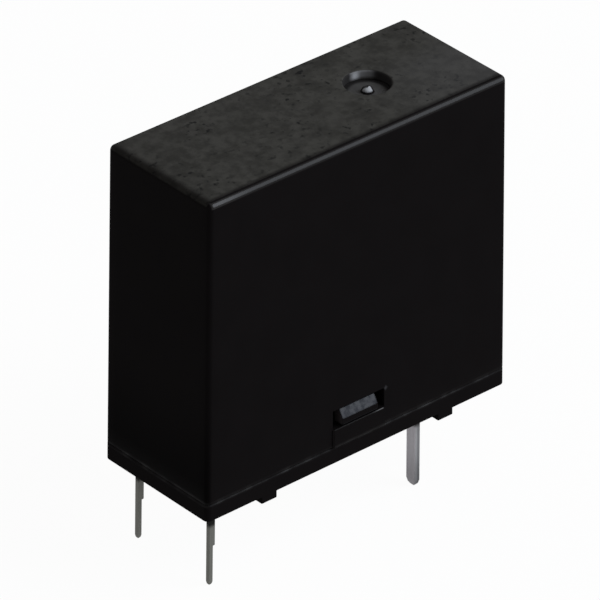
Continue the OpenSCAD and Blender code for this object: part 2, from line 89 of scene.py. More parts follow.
# How noise is stretched along X, Y and Z: a small number draws it out along that axis.
EVEN = (1, 1, 1)
DRAWN_ALONG_Z = (1, 1, 0.12)
GROUND_ALONG_Y = (1, 0.1, 1)
ROLLED_ALONG_Y = (1, 0.06, 1)
ROLLED_ALONG_Z = (1, 1, 0.06)


def length(name, description, mm):
    """A size given in millimetres and kept in metres."""
    return bpy.props.FloatProperty(
        name=name, description=description, default=mm * MM, unit="LENGTH", precision=5
    )


def share(name, description, value):
    """A plain number, such as a weight between 0 and 1."""
    return bpy.props.FloatProperty(name=name, description=description, default=value, precision=4)


def angle(name, description, degrees):
    """An angle given in degrees and kept in radians."""
    return bpy.props.FloatProperty(
        name=name, description=description, default=math.radians(degrees), subtype="ANGLE"
    )


def colour(name, description, *rgb):
    """A linear colour."""
    return bpy.props.FloatVectorProperty(
        name=name, description=description, default=rgb, size=3, subtype="COLOR", min=0, max=1
    )


class CoverSizes(bpy.types.PropertyGroup):
    """Sizes of the moulded cover that its box doesn't give, and of the nibs that latch it."""

    wall: length("Wall", "Thickness of the side walls", 0.6)
    roof: length("Roof", "Thickness of the roof", 0.8)
    edge: length("Edge radius", "Radius of the outer edges", 0.35)
    small_edge: length("Small edge", "Easing of the sharp moulded edges", 0.03)
    lip: length("Lip radius", "Radius of the lower edge", 0.05)
    vent_lip: length("Vent lip", "Radius of the vent's upper edge", 0.15)
    vent_x: length("Vent place", "Distance of the vent from the middle", 4.9)
    vent_y: length("Vent offset", "Distance of the vent from the middle line", 0.2)
    vent_radius: length("Vent radius", "Radius of the vent's recess", 1.5)
    vent_depth: length("Vent depth", "Depth of the vent's recess", 0.6)
    vent_wall: length("Vent wall", "Thickness of the wall under the recess", 0.5)
    nub_radius: length("Nub radius", "Radius of the cut-off nub in the recess", 0.375)
    nub_height: length("Nub height", "Height of the nub above the recess's floor", 0.35)
    nub_dome: angle("Nub dome", "Turn of the nub's round side from its foot to its top", 75)
    dimple: length("Dimple", "Radius of the dimple on top of the nub", 0.09)
    window_length: length("Window length", "Length of a latch window", 4.1)
    window_height: length("Window height", "Height of a latch window", 1.05)
    sill_height: length("Sill height", "Height of the strip under a window", 1.1)
    sill_proud: length("Sill depth", "How far that strip stands out of the face", 0.15)
    nib_length: length("Nib length", "Length of a latch nib", 2.9)
    grid: length("Grid", "Distance between the surface's points along the walls", 0.2)


class PinSizes(bpy.types.PropertyGroup):
    """Sections of the pins below the board's face, what varies in their tin, and the painted shadow and
    painted light on them.
    """

    coil: length("Coil pin", "Side of a square coil pin", 0.3)
    contact_width: length("Contact pin", "Width of a flat contact pin", 0.8)
    contact_sheet: length("Contact sheet", "Thickness of a flat contact pin", 0.4)
    burnish: length("Burnished band", "Width of the bright band on a sheared edge", 0.2)
    # Painted shadow of the base on the pins below it.
    coil_painted_shadow: length("Coil pin stain", "Height where the stain on a coil pin starts", -1)
    contact_painted_shadow: length("Contact pin stain", "Height where the stain on a contact pin starts", -0.8)
    painted_shadow_top: length("Stain top", "Height inside the base where the stain ends", 1.2)
    painted_shadow_fade: length("Stain fade", "Height over which the stain fades", 0.3)
    # Painted light and shade: a contact pin is painted darker towards the tip and brighter above.
    tip_start: length("Tip start", "Height below which a contact pin darkens", -1)
    painted_pin_light: share("Tip tone", "How much darker the tip and brighter the rest of a contact pin is", 0.33)


class ResinSizes(bpy.types.PropertyGroup):
    """How the sealing resin creeps up what it meets."""

    rim_creep: length("Rim creep", "Width of the creep along the rim", 0.7)
    pin_creep: length("Pin creep", "Radius of the creep round a pin", 1.1)
    pin_full: length("Pin full", "Radius where that creep is full", 0.25)


class CoilSizes(bpy.types.PropertyGroup):
    """Sizes of the magnet wire and its winding."""

    pole_overhang: length("Pole overhang", "How far the core's pole stands out over the former's tube", 0.7)
    wire: length("Wire", "Diameter of the magnet wire", 0.12)
    wrap_gap: length("Wrap gap", "Gap between a wrapped wire and the corners of its post", 0.03)
    wraps: share("Wraps", "Turns of a wire end round its post", 4.6)
    run: angle("Run", "How far a wire end lies along the winding before it leaves", 70)


class SpringSizes(bpy.types.PropertyGroup):
    """Stretches round the joints over which the springs are cut at even heights."""

    hinge_bend: length("Hinge bend", "Height of the hinge spring's bend above and below its hinge", 1)
    leaf_bend: length("Leaf bend", "Height of the contact leaf's bend above its root", 5)


class EasedEdges(bpy.types.PropertyGroup):
    """Widths of the eased edges of solids that keep their shapes."""

    base: length("Base edges", "Easing of the base's edges", 0.05)
    pins: length("Pin edges", "Easing of the terminals' edges", 0.03)
    former: length("Former edges", "Easing of the coil former's edges", 0.06)
    iron: length("Iron edges", "Easing of the edges of yoke and armature", 0.05)
    card: length("Card edges", "Easing of the card's edges", 0.04)


class Wear(bpy.types.PropertyGroup):
    """Where the black mouldings are eroded, paler or darker, and where painted shade and painted highlights
    lie on them.
    """

    soft: length("Soft edge", "Width over which one finish turns into the next", 0.02)
    # Painted shade behind the front upper edge and along the coil end of the top.
    painted_edge_shade: length("Groove", "Width of the dark strip behind the front upper edge", 0.38)
    painted_edge_shade_tone: share("Groove tone", "How dark that strip is", 0.7)
    end_strip: length("End strip", "Width of the dark strip at the coil end of the top", 0.75)
    end_shade: length("End shade", "Width of the faint shade beside that strip", 3)
    brightening_start: length("Worn start", "Place along X where the top starts to look worn", 2)
    brightening_end: length("Worn end", "Place along X where the top is most worn", 11)
    brightening_rear: length("Worn rear", "Place along Y where the top starts to look worn", 2.2)
    brightening_front: length("Worn front", "Place along Y where the top is most worn", -1)
    top_brightening: share("Worn top", "How worn the top is at most", 0.27)
    # Painted fill light in the vent.
    painted_vent_light: share("Worn vent", "How worn the vent is", 0.45)
    # The stretch of the vent's wall that faces the key is painted as lit: painted light.
    lit_wall_start: length("Pale start", "Start of the vent's pale wall, along X from the vent's middle", -0.25)
    lit_wall_end: length("Pale end", "End of that wall, along X from the vent's middle", 1.4)
    lit_wall_fade: length("Pale fade", "Width over which that wall fades", 0.3)
    lit_wall_tone: share("Pale tone", "How bright that wall is", 0.2)
    dull_wall: share("Dull wall", "How matte the rest of the vent's wall is", 0.3)
    # The glint on the vent's wall is a painted highlight.
    glint_start: length("Rub start", "Start of the wall's bright rub, along X from the vent's middle", -0.05)
    glint_end: length("Rub end", "End of that rub, along X from the vent's middle", 0.7)
    glint_fade: length("Rub fade", "Width over which that rub fades along X", 0.36)
    glint_rise: length("Rub rise", "Height over which that rub fades up and down", 0.22)
    glint_tone: share("Rub tone", "How bright that rub is", 0.65)
    darkening: length("Dirt", "Width of the dirt round the vent's floor", 0.45)
    darkening_height: length("Dirt height", "Height of that dirt on the vent's wall", 0.1)
    darkening_tone: share("Dirt tone", "How dark that dirt is", 0.8)
    # The crescent on the nub is a painted highlight of the key lamp.
    crescent: angle("Crescent", "Bearing of the bright crescent on the nub", 228.65)
    # The spot beside a window is a painted glint.
    spot: length("Spot", "Reach of the pale spot at a window's upper corner", 0.22)
    spot_core: length("Spot core", "Reach of that spot's full tone", 0.05)
    spot_offset: length("Spot offset", "Distance of that spot from the window", 0.13)
    spot_tone: share("Spot tone", "How bright that spot is", 0.06)
    end_reach: length("End reach", "How far round the corner the coil end's shade reaches", 0.4)
    foot_top: length("Foot top", "Height where the shade at the foot of the coil end starts", 8)
    foot_full: length("Foot full", "Height where that shade is full", 1)
    foot_tone: share("Foot tone", "How dark that shade is", 0.75)
    ramp_fade: length("Ramp fade", "Width over which the polish of a nib's ramp fades at its ends", 0.15)


class Gloss(bpy.types.PropertyGroup):
    """How much the edges of the black mouldings shine, and where."""

    front_edge: share("Front edge", "Gloss of the front upper edge", 0.2)
    near_coil: share("Near the coil", "More gloss of that edge near the coil end", 0.16)
    coil_start: length("Coil start", "Place along X where that gloss starts", -8)
    coil_full: length("Coil full", "Place along X where that gloss is full", -11.5)
    other_edges: share("Other edges", "Gloss of the rear upper edge and the one at the contact end", 0.06)
    nub: share("Nub", "Gloss of the nub", 0.12)
    sill: share("Sill", "Gloss of a sill strip's upper edge", 0.05)
    sill_grown: share("Sill grown", "More gloss of that edge along X", 0.4)
    sill_width: length("Sill width", "Height of that edge's gloss", 0.07)
    sill_start: length("Sill start", "Place along X where that edge's gloss starts to grow", 0.9)
    sill_stop: length("Sill stop", "How far from the strip's end that edge's gloss stops", 0.25)
    streak: length("Streak", "Length of the streaks along the seam", 1.2)
    seam: share("Seam", "Gloss of the cover's strip above the seam", 0.025)
    seam_streak: share("Seam streaks", "More gloss in the streaks of that strip", 0.11)
    seam_sill: share("Seam sill", "More gloss of that strip under a window", 0.06)
    seam_height: length("Seam height", "Height of that strip", 0.2)
    rim: share("Rim", "Gloss of the base's strip below the seam", 0.02)
    rim_streak: share("Rim streaks", "More gloss in the streaks of that strip", 0.1)
    rim_height: length("Rim height", "Height of that strip", 0.18)
    nib: share("Nib", "Gloss of a nib's ramp", 0.12)
    nib_mottle: share("Nib mottle", "More gloss in the spots of that ramp", 0.13)


class Finishes(bpy.types.PropertyGroup):
    """Colours of the finishes."""

    wall: colour("Moulded wall", "Smooth black wall of the case", 0.0051, 0.0043, 0.0044)
    top: colour("Eroded top", "Matte top face of the cover", 0.043, 0.0412, 0.0372)
    # Paler top colour: towards the contact end, and as painted fill light in the vent.
    brightened: colour("Worn top", "Matte top face where it is rubbed", 0.085, 0.083, 0.085)
    # Painted highlights: the crescent on the nub, the glint and lit stretch of the vent's wall, and the spot
    # beside the windows.
    painted_glint: colour("Scuff", "Bright rubbed spots in the vent", 0.37, 0.375, 0.39)
    speck: colour("Eroded speck", "Darker specks in the matte top", 0.014, 0.014, 0.0135)
    nib: colour("Nib", "Polished ramps of the latch nibs", 0.005, 0.006, 0.0105)
    resin: colour("Sealing resin", "Cast resin under the base", 0.012, 0.0105, 0.009)
    coil_pin: colour("Coil pin", "Dull tin of the thin pins", 0.142, 0.142, 0.13)
    contact_pin: colour("Contact pin", "Tin on the wide faces of the flat pins", 0.38, 0.37, 0.39)
    sheared: colour("Sheared edge", "Tin on the narrow sheared edges of the flat pins", 0.14, 0.14, 0.145)
    former: colour("Former", "Cream moulding of coil former and card", 0.62, 0.57, 0.46)
    copper: colour("Wire", "Enamelled copper wire", 0.5, 0.16, 0.05)
    tape: colour("Tape", "Film round the winding", 0.55, 0.36, 0.03)
    solder: colour("Solder", "Bright solder", 0.6, 0.61, 0.62)
    iron: colour("Iron", "Plated iron of the magnet", 0.42, 0.41, 0.39)
    steel: colour("Spring steel", "Rolled steel of the hinge spring", 0.5, 0.5, 0.48)
    bronze: colour("Bronze", "Rolled bronze of the contact spring", 0.56, 0.3, 0.1)
    silver: colour("Silver", "Satin silver of the contacts", 0.74, 0.73, 0.7)


class Studio(bpy.types.PropertyGroup):
    """Light, floor and camera."""

    world_level: share("World level", "Even light from all around", 0.38)
    key_power: bpy.props.FloatProperty(
        name="Key power", description="Power of the key lamp", default=2.8, unit="POWER"
    )
    key_radius: length("Key radius", "Radius of the round key lamp", 220)
    key_tint: colour("Key tint", "Colour of the key lamp", 0.86, 0.92, 1)
    key_distance: length("Key distance", "Distance of the key lamp", 500)
    key_direction: bpy.props.FloatVectorProperty(
        name="Key direction", description="Direction towards the key lamp",
        default=(0.59, -0.626, 0.496), size=3, subtype="DIRECTION",
    )
    floor: colour("Floor", "Pale floor", 0.82, 0.82, 0.82)
    floor_white: share("Floor white", "Share of the floor that shows as plain white", 0.96)
    floor_reach: length("Floor reach", "Half width of the floor", 3000)
    azimuth: angle("Azimuth", "Turn of the camera round the relay", 41.405)
    elevation: angle("Elevation", "Height of the camera above the horizon", 27.576)
    roll: angle("Roll", "Turn of the picture", 0.505)
    distance: length("Camera distance", "Distance from the camera to its target", 579.05)
    target: bpy.props.FloatVectorProperty(
        name="Target", description="Point that the camera looks at",
        default=(0, 0.2 * MM, 10 * MM), size=3, subtype="XYZ", unit="LENGTH", precision=5,
    )
    focal: share("Focal length", "Focal length in pixels of the picture", 9512.7)
    picture: share("Picture width", "Width of the picture in pixels", 600)
    target_u: share("Target column", "Column of the picture where the target lies", 305.79)
    target_v: share("Target row", "Row of the picture where the target lies", 260.86)


class Value:
    """A shader socket that takes part in sums: an expression on it adds Math nodes to its finish, and
    a bar between two values takes the larger one."""

    def __init__(self, finish, socket):
        self.finish = finish
        self.socket = socket

    def __add__(self, other):
        return self.finish.math("ADD", self, other)

    def __radd__(self, other):
        return self.finish.math("ADD", other, self)

    def __sub__(self, other):
        return self.finish.math("SUBTRACT", self, other)

    def __rsub__(self, other):
        return self.finish.math("SUBTRACT", other, self)

    def __mul__(self, other):
        return self.finish.math("MULTIPLY", self, other)

    def __rmul__(self, other):
        return self.finish.math("MULTIPLY", other, self)

    def __or__(self, other):
        return self.finish.math("MAXIMUM", self, other)

    __ror__ = __or__

    def __abs__(self):
        return self.finish.math("ABSOLUTE", self)

    def rise(self, low, high):
        """Goes smoothly from 0 at low to 1 at high, or down where high is the lower one."""
        settings = {"interpolation_type": "SMOOTHSTEP"}
        inputs = {"Value": self, "From Min": low, "From Max": high}
        return self.finish.node("ShaderNodeMapRange", settings, inputs)

    def band(self, low, high, soft):
        """Is 1 between low and high and fades to 0 over a soft width inside them."""
        return self.rise(low, low + soft) * self.rise(high, high - soft)


class Finish:
    """A procedural material: node() adds a node, and feed() plugs what varies into the shader."""

    def __init__(self, name, constants):
        self.material = bpy.data.materials.new(name)
        self.material.use_nodes = True
        self.tree = self.material.node_tree
        self.shader = self.tree.nodes["Principled BSDF"]
        self.feed(constants)

    def feed(self, inputs):
        """Sets or links sockets of the shader."""
        for name, value in inputs.items():
            self.plug(self.shader.inputs[name], value)

    def plug(self, socket, value):
        """Links a Value to a socket, or sets a number, vector or colour on it."""
        if isinstance(value, Value):
            self.tree.links.new(value.socket, socket)
        elif socket.type == "RGBA":
            socket.default_value = (*value[:3], 1)
        else:
            socket.default_value = value

    def node(self, kind, settings=None, inputs=None, output=0):
        """Adds a node: its settings first, then its sockets' values or links. Returns one output."""
        made = self.tree.nodes.new(kind)
        for name, value in (settings or {}).items():
            setattr(made, name, value)
        for key, value in (inputs or {}).items():
            self.plug(made.inputs[key], value)
        return Value(self, made.outputs[output])

    def math(self, operation, *values):
        """One Math node on values and numbers."""
        return self.node("ShaderNodeMath", {"operation": operation}, dict(enumerate(values)))

    def distance(self, off_x, off_y):
        """Distance from an upright line, from both offsets from it."""
        return self.math("SQRT", off_x * off_x + off_y * off_y)

    def place(self, stretch):
        """Object coordinates in metres, stretched along the axes."""
        at = self.node("ShaderNodeTexCoord", output="Object")
        settings = {"operation": "MULTIPLY"}
        return self.node("ShaderNodeVectorMath", settings, {0: at, 1: stretch})

    def axes(self):
        """The three Object coordinates as values."""
        at = self.node("ShaderNodeTexCoord", output="Object")
        return [self.node("ShaderNodeSeparateXYZ", None, {0: at}, axis) for axis in "XYZ"]

    def facing(self, axis):
        """How far the surface faces along an axis, from 0 to 1 on either side."""
        normal = self.node("ShaderNodeTexCoord", output="Normal")
        return abs(self.node("ShaderNodeSeparateXYZ", None, {0: normal}, axis))

    def noise(self, size, detail, stretch=EVEN):
        """Cloudy noise about 0.5, with patches of the given size in metres."""
        inputs = {"Vector": self.place(stretch), "Scale": 1 / size, "Detail": detail}
        return self.node("ShaderNodeTexNoise", None, inputs)

    def mix(self, amount, first, second):
        """Colour between two colours."""
        inputs = {0: amount, 6: first, 7: second}
        return self.node("ShaderNodeMix", {"data_type": "RGBA"}, inputs, 2)

    def bump(self, height, depth):
        """Normal of a surface that rises by height, a value from 0 to 1, times depth in metres."""
        inputs = {"Strength": 1, "Distance": depth, "Height": height}
        return self.node("ShaderNodeBump", None, inputs)


def shade(rgb, amount):
    """A colour made lighter or darker by a factor."""
    return tuple(min(1.0, channel * amount) for channel in rgb)


class BlackMoulding(Finish):
    """Smooth black plastic with a faint cloud, and the places that the finishes of cover and base share."""

    def __init__(self, name, scene):
        super().__init__(name, {"Specular IOR Level": 0.005, "Coat Roughness": 0.22, "Coat IOR": 1.5})
        self.colours = scene.relay_finishes
        self.sizes = scene.relay_cover
        self.wear = scene.relay_wear
        self.gloss = scene.relay_gloss
        self.low, self.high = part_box("cover")
        self.half = self.high.y - self.sizes.sill_proud
        self.sill = self.low.z + self.sizes.sill_height
        self.jamb = self.sizes.window_length / 2
        self.x, self.y, self.z = self.axes()
        self.cloud = self.noise(2.2 * MM, 4)
        self.plain = self.mix(self.cloud, shade(self.colours.wall, 0.85), shade(self.colours.wall, 1.15))
        self.streak = self.noise(self.gloss.streak, 2).rise(0.35, 0.75)


class CoverFinish(BlackMoulding):
    """Smooth black walls, an eroded matte top and vent, polished edges, and painted light: painted highlights
    on the nub, on the vent's wall and beside the windows, painted light in the vent and painted shade behind
    the upper edges. A mask is 1 inside its zone and 0 outside it."""

    def __init__(self, scene):
        super().__init__("cover_black", scene)
        self.mask_vent()
        self.mask_top()
        unlightened = self.mix(self.matte, self.wall_colour(), self.eroded_colour())
        # Painted highlights and painted light: the nub's crescent, the vent wall's glint and lit stretch, and
        # the spot beside the windows.
        lightened = self.crescent() | self.painted_wall_light() | self.painted_window_glint()
        grain = self.noise(0.09 * MM, 3) * (0.2 + 0.8 * self.matte - 0.2 * self.on_nub)
        edges = self.edge_gloss() + self.sill_gloss() + self.seam_gloss()
        self.feed({
            "Base Color": self.mix(lightened, unlightened, self.colours.painted_glint),
            "Roughness": 0.42 + 0.36 * self.matte,
            "Coat Weight": edges + self.gloss.nub * self.on_nub,
            "Normal": self.bump(grain, 7 * MICRON),
        })

    def mask_vent(self):
        """Masks of the vent's inside, of its nub, of the stretch of its wall that is painted as lit, and of
        what is matte in it.
        """
        sizes, wear, soft = self.sizes, self.wear, self.wear.soft
        self.vent_x = self.x - sizes.vent_x
        self.vent_y = self.y - sizes.vent_y
        self.from_vent = self.distance(self.vent_x, self.vent_y)
        self.above_floor = self.z - self.high.z + sizes.vent_depth
        rim = sizes.vent_radius + 0.2 * sizes.vent_lip
        above_boss = self.above_floor.rise(-sizes.vent_wall / 5, -sizes.vent_wall / 10)
        self.in_vent = self.from_vent.rise(rim + 0.2 * sizes.vent_lip, rim) * above_boss
        nub_foot = sizes.nub_radius + soft
        self.on_nub = self.from_vent.rise(nub_foot + 1.5 * soft, nub_foot) * self.in_vent
        # The stretch of the vent's wall that faces the key is painted paler: painted light.
        along_wall = self.vent_x.band(wear.lit_wall_start, wear.lit_wall_end, wear.lit_wall_fade)
        self.painted_lit_wall = along_wall * self.vent_y.rise(0, wear.lit_wall_fade)
        on_floor = self.above_floor.rise(soft, soft / 2)
        self.vent_matte = (self.painted_lit_wall | on_floor | wear.dull_wall) * (self.in_vent - self.on_nub)

    def mask_top(self):
        """Masks of the front upper edge, of the top behind it and of all that is matte."""
        edge, soft = self.sizes.edge, self.wear.soft
        self.edge_line = edge - self.half
        self.front_edge = self.y.rise(self.edge_line + soft, self.edge_line - soft)
        flat = self.z.rise(self.high.z - 0.8 * edge, self.high.z - 0.2 * edge)
        self.on_top = flat * (1 - self.front_edge)
        self.matte = (self.on_top * (1 - self.in_vent)) | self.vent_matte

    def eroded_colour(self):
        """Cloudy grey with dark specks, paler towards the contact end and the front, paler in the vent as
        painted fill light, dark in the painted shade behind the upper edges, and darker in the corner round
        the vent's floor.
        """
        colours, wear = self.colours, self.wear
        cloud = 0.5 * self.noise(1.5 * MM, 5) + 0.5 * self.noise(0.5 * MM, 3)
        speck = self.noise(0.45 * MM, 3).rise(0.56, 0.68) * self.noise(2.5 * MM, 2).rise(0.35, 0.65)
        grey = self.mix(cloud.rise(0.35, 0.65), shade(colours.top, 0.75), shade(colours.top, 1.22))
        # The top is paler towards the contact end and the front.
        towards_end = self.x.rise(wear.brightening_start, wear.brightening_end)
        brightened = wear.top_brightening * towards_end * self.y.rise(wear.brightening_rear, wear.brightening_front)
        # In the vent the paler colour is painted fill light that lifts the rim's shade.
        brightened = brightened + wear.painted_vent_light * self.in_vent
        eroded = self.mix(brightened, self.mix(speck, grey, colours.speck), colours.brightened)
        eroded = self.mix(wear.painted_edge_shade_tone * self.painted_edge_shade(), eroded, colours.wall)
        return self.mix(wear.darkening_tone * self.darkening(), eroded, colours.wall)

    def painted_edge_shade(self):
        """Painted shade: a dark strip behind the front edge, and one at the coil end with a faint shade
        beside it.
        """
        wear, end = self.wear, -self.high.x
        front = self.y.rise(self.edge_line + wear.painted_edge_shade, self.edge_line)
        strip = self.x.rise(end + wear.end_strip, end + wear.end_strip / 5)
        faint = self.x.rise(end + wear.end_shade, end + wear.end_shade / 6)
        return (front | (0.8 * strip + 0.16 * faint)) * self.on_top

    def darkening(self):
        """Darker in the corner between the vent's floor and its wall."""
        wear, wall = self.wear, self.sizes.vent_radius
        near_wall = self.from_vent.rise(wall - wear.darkening, wall - wear.darkening / 3)
        return near_wall * self.above_floor.rise(1.2 * wear.darkening_height, 0.2 * wear.darkening_height)

    def wall_colour(self):
        """Plain black, darker at the foot of the coil end and paler on the ends of the sill strips."""
        wear, soft, wall = self.wear, self.wear.soft, self.colours.wall
        coil_end = self.x.rise(wear.end_reach - self.high.x, -self.high.x)
        foot = coil_end * self.z.rise(wear.foot_top, wear.foot_full)
        shaded = self.mix(wear.foot_tone * foot, self.plain, shade(wall, 0.2))
        proud = abs(self.y).rise(self.half - soft / 2, self.half + soft / 4)
        return self.mix(self.facing("X").rise(0.6, 0.9) * proud, shaded, shade(wall, 4))

    def crescent(self):
        """Painted highlight of the key lamp: a bright crescent on the nub's side at its bearing, which
        reaches over the top on one side. Places before and beside the nub's middle are shares of its radius,
        and heights are shares of its height."""
        bearing, radius = self.wear.crescent, self.sizes.nub_radius
        ahead_x, ahead_y = math.cos(bearing) / radius, math.sin(bearing) / radius
        before = ahead_x * self.vent_x + ahead_y * self.vent_y
        beside = ahead_x * self.vent_y - ahead_y * self.vent_x
        height = (1 / self.sizes.nub_height) * self.above_floor
        over_top = beside.rise(0, 0.267) * beside.rise(0.8, 0.4)
        bright = (before + 0.453 * over_top).rise(0.267, 0.587) * height.rise(0.229, 0.571)
        return self.on_nub * bright * (0.6 + 0.4 * beside.rise(-0.667, 0.267))

    def painted_wall_light(self):
        """Painted light on the vent's wall above the darkening: the stretch painted as lit, with a painted
        glint in its rearmost part.
        """
        wear, wall = self.wear, self.sizes.vent_radius
        glint = self.above_floor.band(0, self.sizes.vent_depth, wear.glint_rise)
        glint = glint * self.vent_x.band(wear.glint_start, wear.glint_end, wear.glint_fade)
        glint = glint * self.vent_y.rise(0.8 * wall, 0.867 * wall)
        above_darkening = self.above_floor.rise(wear.darkening_height, 2.5 * wear.darkening_height)
        return (wear.glint_tone * glint + wear.lit_wall_tone * self.painted_lit_wall * above_darkening) * self.in_vent

    def painted_window_glint(self):
        """Painted glint: a pale spot, a square on its tip, beside the upper corner of a latch window at the
        contact end.
        """
        wear = self.wear
        off_x = abs(self.x - self.jamb - wear.spot_offset)
        off_z = abs(self.z - self.sill - self.sizes.window_height)
        return wear.spot_tone * (off_x + off_z).rise(wear.spot, wear.spot_core)

    def edge_gloss(self):
        """Gloss of the round upper edges. The front one shines most, and more near the coil end."""
        gloss, soft, edge = self.gloss, self.wear.soft, self.sizes.edge
        round_edge = self.z.band(self.high.z - edge, self.high.z - soft, 1.5 * soft)
        front = round_edge * self.front_edge * self.facing("X").rise(0.6, 0.3)
        near_coil = self.x.rise(gloss.coil_start, gloss.coil_full)
        rear = self.y.rise(self.half - edge - soft, self.half - edge + soft)
        contact_end = self.x.rise(self.high.x - edge, self.high.x - edge + soft)
        others = gloss.other_edges * round_edge * (rear | contact_end)
        return (gloss.front_edge + gloss.near_coil * near_coil) * front + others

    def sill_gloss(self):
        """Gloss of the upper edge of each sill strip, which grows along X and stops before the strip ends."""
        gloss, soft = self.gloss, self.wear.soft
        upper_edge = self.z.band(self.sill - gloss.sill_width, self.sill + soft, 1.5 * soft)
        proud = abs(self.y).rise(self.half, self.half + self.sizes.sill_proud / 3)
        grown = self.x.rise(gloss.sill_start, self.jamb - 1.2 * gloss.sill_stop)
        stop = self.x.rise(self.jamb - gloss.sill_stop / 3, self.jamb - gloss.sill_stop)
        return upper_edge * proud * stop * (gloss.sill + gloss.sill_grown * grown)

    def seam_gloss(self):
        """Gloss of the strip above the seam, in streaks, and more of it under the windows."""
        gloss, seam = self.gloss, self.low.z
        strip = self.z.rise(seam + gloss.seam_height, seam + gloss.seam_height / 4)
        under_sill = abs(self.x).rise(self.jamb, self.jamb - 5 * self.wear.soft)
        return strip * (gloss.seam + gloss.seam_streak * self.streak + gloss.seam_sill * under_sill)


class BaseFinish(BlackMoulding):
    """Smooth black moulding whose strip below the seam and latch ramps are polished, with painted light on
    the end of each nib towards the coil and on the wall behind it.
    """

    def __init__(self, scene):
        super().__init__("base_black", scene)
        gloss, soft, nib_end = self.gloss, self.wear.soft, self.sizes.nib_length / 2
        inner = self.half - self.sizes.wall
        latch = abs(self.y).rise(inner, inner + 5 * soft) * self.z.rise(self.sill, self.sill + 2.5 * soft)
        ramp = latch * self.facing("Z").rise(0.3, 0.5)
        ramp = ramp * abs(self.x).rise(nib_end + soft / 2, nib_end - self.wear.ramp_fade)
        mottle = self.noise(0.35 * MM, 3).rise(0.35, 0.65)
        nib_gloss = ramp * (gloss.nib + gloss.nib_mottle * mottle)
        # Painted light: the nib's end towards the coil and the wall behind it are painted paler.
        painted_gap_light = latch * self.x.rise(soft - nib_end, -nib_end)
        unpolished = self.mix(painted_gap_light, self.plain, shade(self.colours.wall, 5))
        strip = self.z.band(self.low.z - gloss.rim_height, self.low.z + soft, soft)
        self.feed({
            "Base Color": self.mix(ramp, unpolished, self.colours.nib),
            "Roughness": 0.4 + 0.12 * self.cloud,
            "Coat Weight": nib_gloss + strip * (gloss.rim + gloss.rim_streak * self.streak),
            "Normal": self.bump(self.noise(0.1 * MM, 2), 2 * MICRON),
        })


def pin_places(sizes):
    """Middles of the four pins seen from above, each in the outer corner of its terminal's box."""
    places = []
    for node in ("coil_terminal_front", "coil_terminal_rear"):
        low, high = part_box(node)
        places.append((low.x + sizes.coil / 2, (low.y + high.y) / 2))
    front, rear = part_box("moving_terminal")[0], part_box("fixed_terminal")[1]
    contact_x = front.x + sizes.contact_sheet / 2
    places.append((contact_x, front.y + sizes.contact_width / 2))
    places.append((contact_x, rear.y - sizes.contact_width / 2))
    return places


def resin_finish(rgb, sizes, pins):
    """Dark cast resin, glossy, with the slow swell and pinholes of a poured surface. It creeps up the rim
    and the pins that it meets."""
    finish = Finish("sealing_resin", {"Specular IOR Level": 0.25})
    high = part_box("sealing_resin")[1]
    x, y = finish.axes()[:2]
    creep = abs(x).rise(high.x - sizes.rim_creep, high.x) | abs(y).rise(high.y - sizes.rim_creep, high.y)
    for pin_x, pin_y in pin_places(pins):
        creep = creep | finish.distance(x - pin_x, y - pin_y).rise(sizes.pin_creep, sizes.pin_full)
    swell = finish.noise(3 * MM, 3)
    pit = finish.noise(0.3 * MM, 2).rise(0.68, 0.76)
    finish.feed({
        "Base Color": finish.mix(swell, shade(rgb, 0.7), shade(rgb, 1.3)),
        "Roughness": 0.2 + 0.2 * swell + 0.3 * pit,
        "Normal": finish.bump(0.4 * swell - 0.12 * pit + creep, 100 * MICRON),
    })
    return finish.material


def tin_finish(name, sizes, face, edge, sheet_x, painted_shadow_start, painted_pin_light):
    """Dull tin plate, drawn along the pin. The edges that face along Y have a tone of their own, lighter in
    a burnished band beside the sheet's face at sheet_x. The plate is painted darker towards the tip and
    brighter above by painted_pin_light, painted light and shade, and a painted shadow of the base covers it
    from painted_shadow_start up into the base."""
    finish = Finish(name, {"Metallic": 1})
    x, _, z = finish.axes()
    streak = finish.noise(0.12 * MM, 3, DRAWN_ALONG_Z)
    cloud = finish.noise(0.9 * MM, 4)
    burnished = x.rise(sheet_x + sizes.burnish, sheet_x + 0.6 * sizes.burnish)
    on_edge = finish.facing("Y").rise(0.5, 0.8)
    plain = finish.mix(on_edge, face, finish.mix(burnished, edge, shade(edge, 1.5)))
    tone = 0.75 + 0.3 * streak + 0.25 * cloud
    # Painted light and shade: brighter towards the base, darker towards the tip.
    tone = tone * (1 - painted_pin_light + 2 * painted_pin_light * z.rise(CAD_BOX[0].z, sizes.tip_start))
    clouded = finish.node("ShaderNodeVectorMath", {"operation": "SCALE"}, {0: plain, "Scale": tone})
    # Painted shadow of the base on the pin.
    shadow = z.band(painted_shadow_start, sizes.painted_shadow_top, sizes.painted_shadow_fade)
    finish.feed({
        "Base Color": finish.mix(0.95 * shadow, clouded, shade(face, 0.05)),
        "Roughness": 0.6 + 0.14 * cloud,
        "Normal": finish.bump(streak, 3 * MICRON),
    })
    return finish.material


def metal_finish(name, rgb, roughness, grain):
    """Metal with fine lines along the axis that grain makes long, and a faint cloud."""
    finish = Finish(name, {"Metallic": 1})
    lines = finish.noise(0.06 * MM, 3, grain)
    cloud = finish.noise(1.5 * MM, 3)
    finish.feed({
        "Base Color": finish.mix(0.5 * lines + 0.5 * cloud, shade(rgb, 0.82), shade(rgb, 1.16)),
        "Roughness": roughness - 0.08 + 0.16 * cloud,
        "Normal": finish.bump(lines, 1.5 * MICRON),
    })
    return finish.material


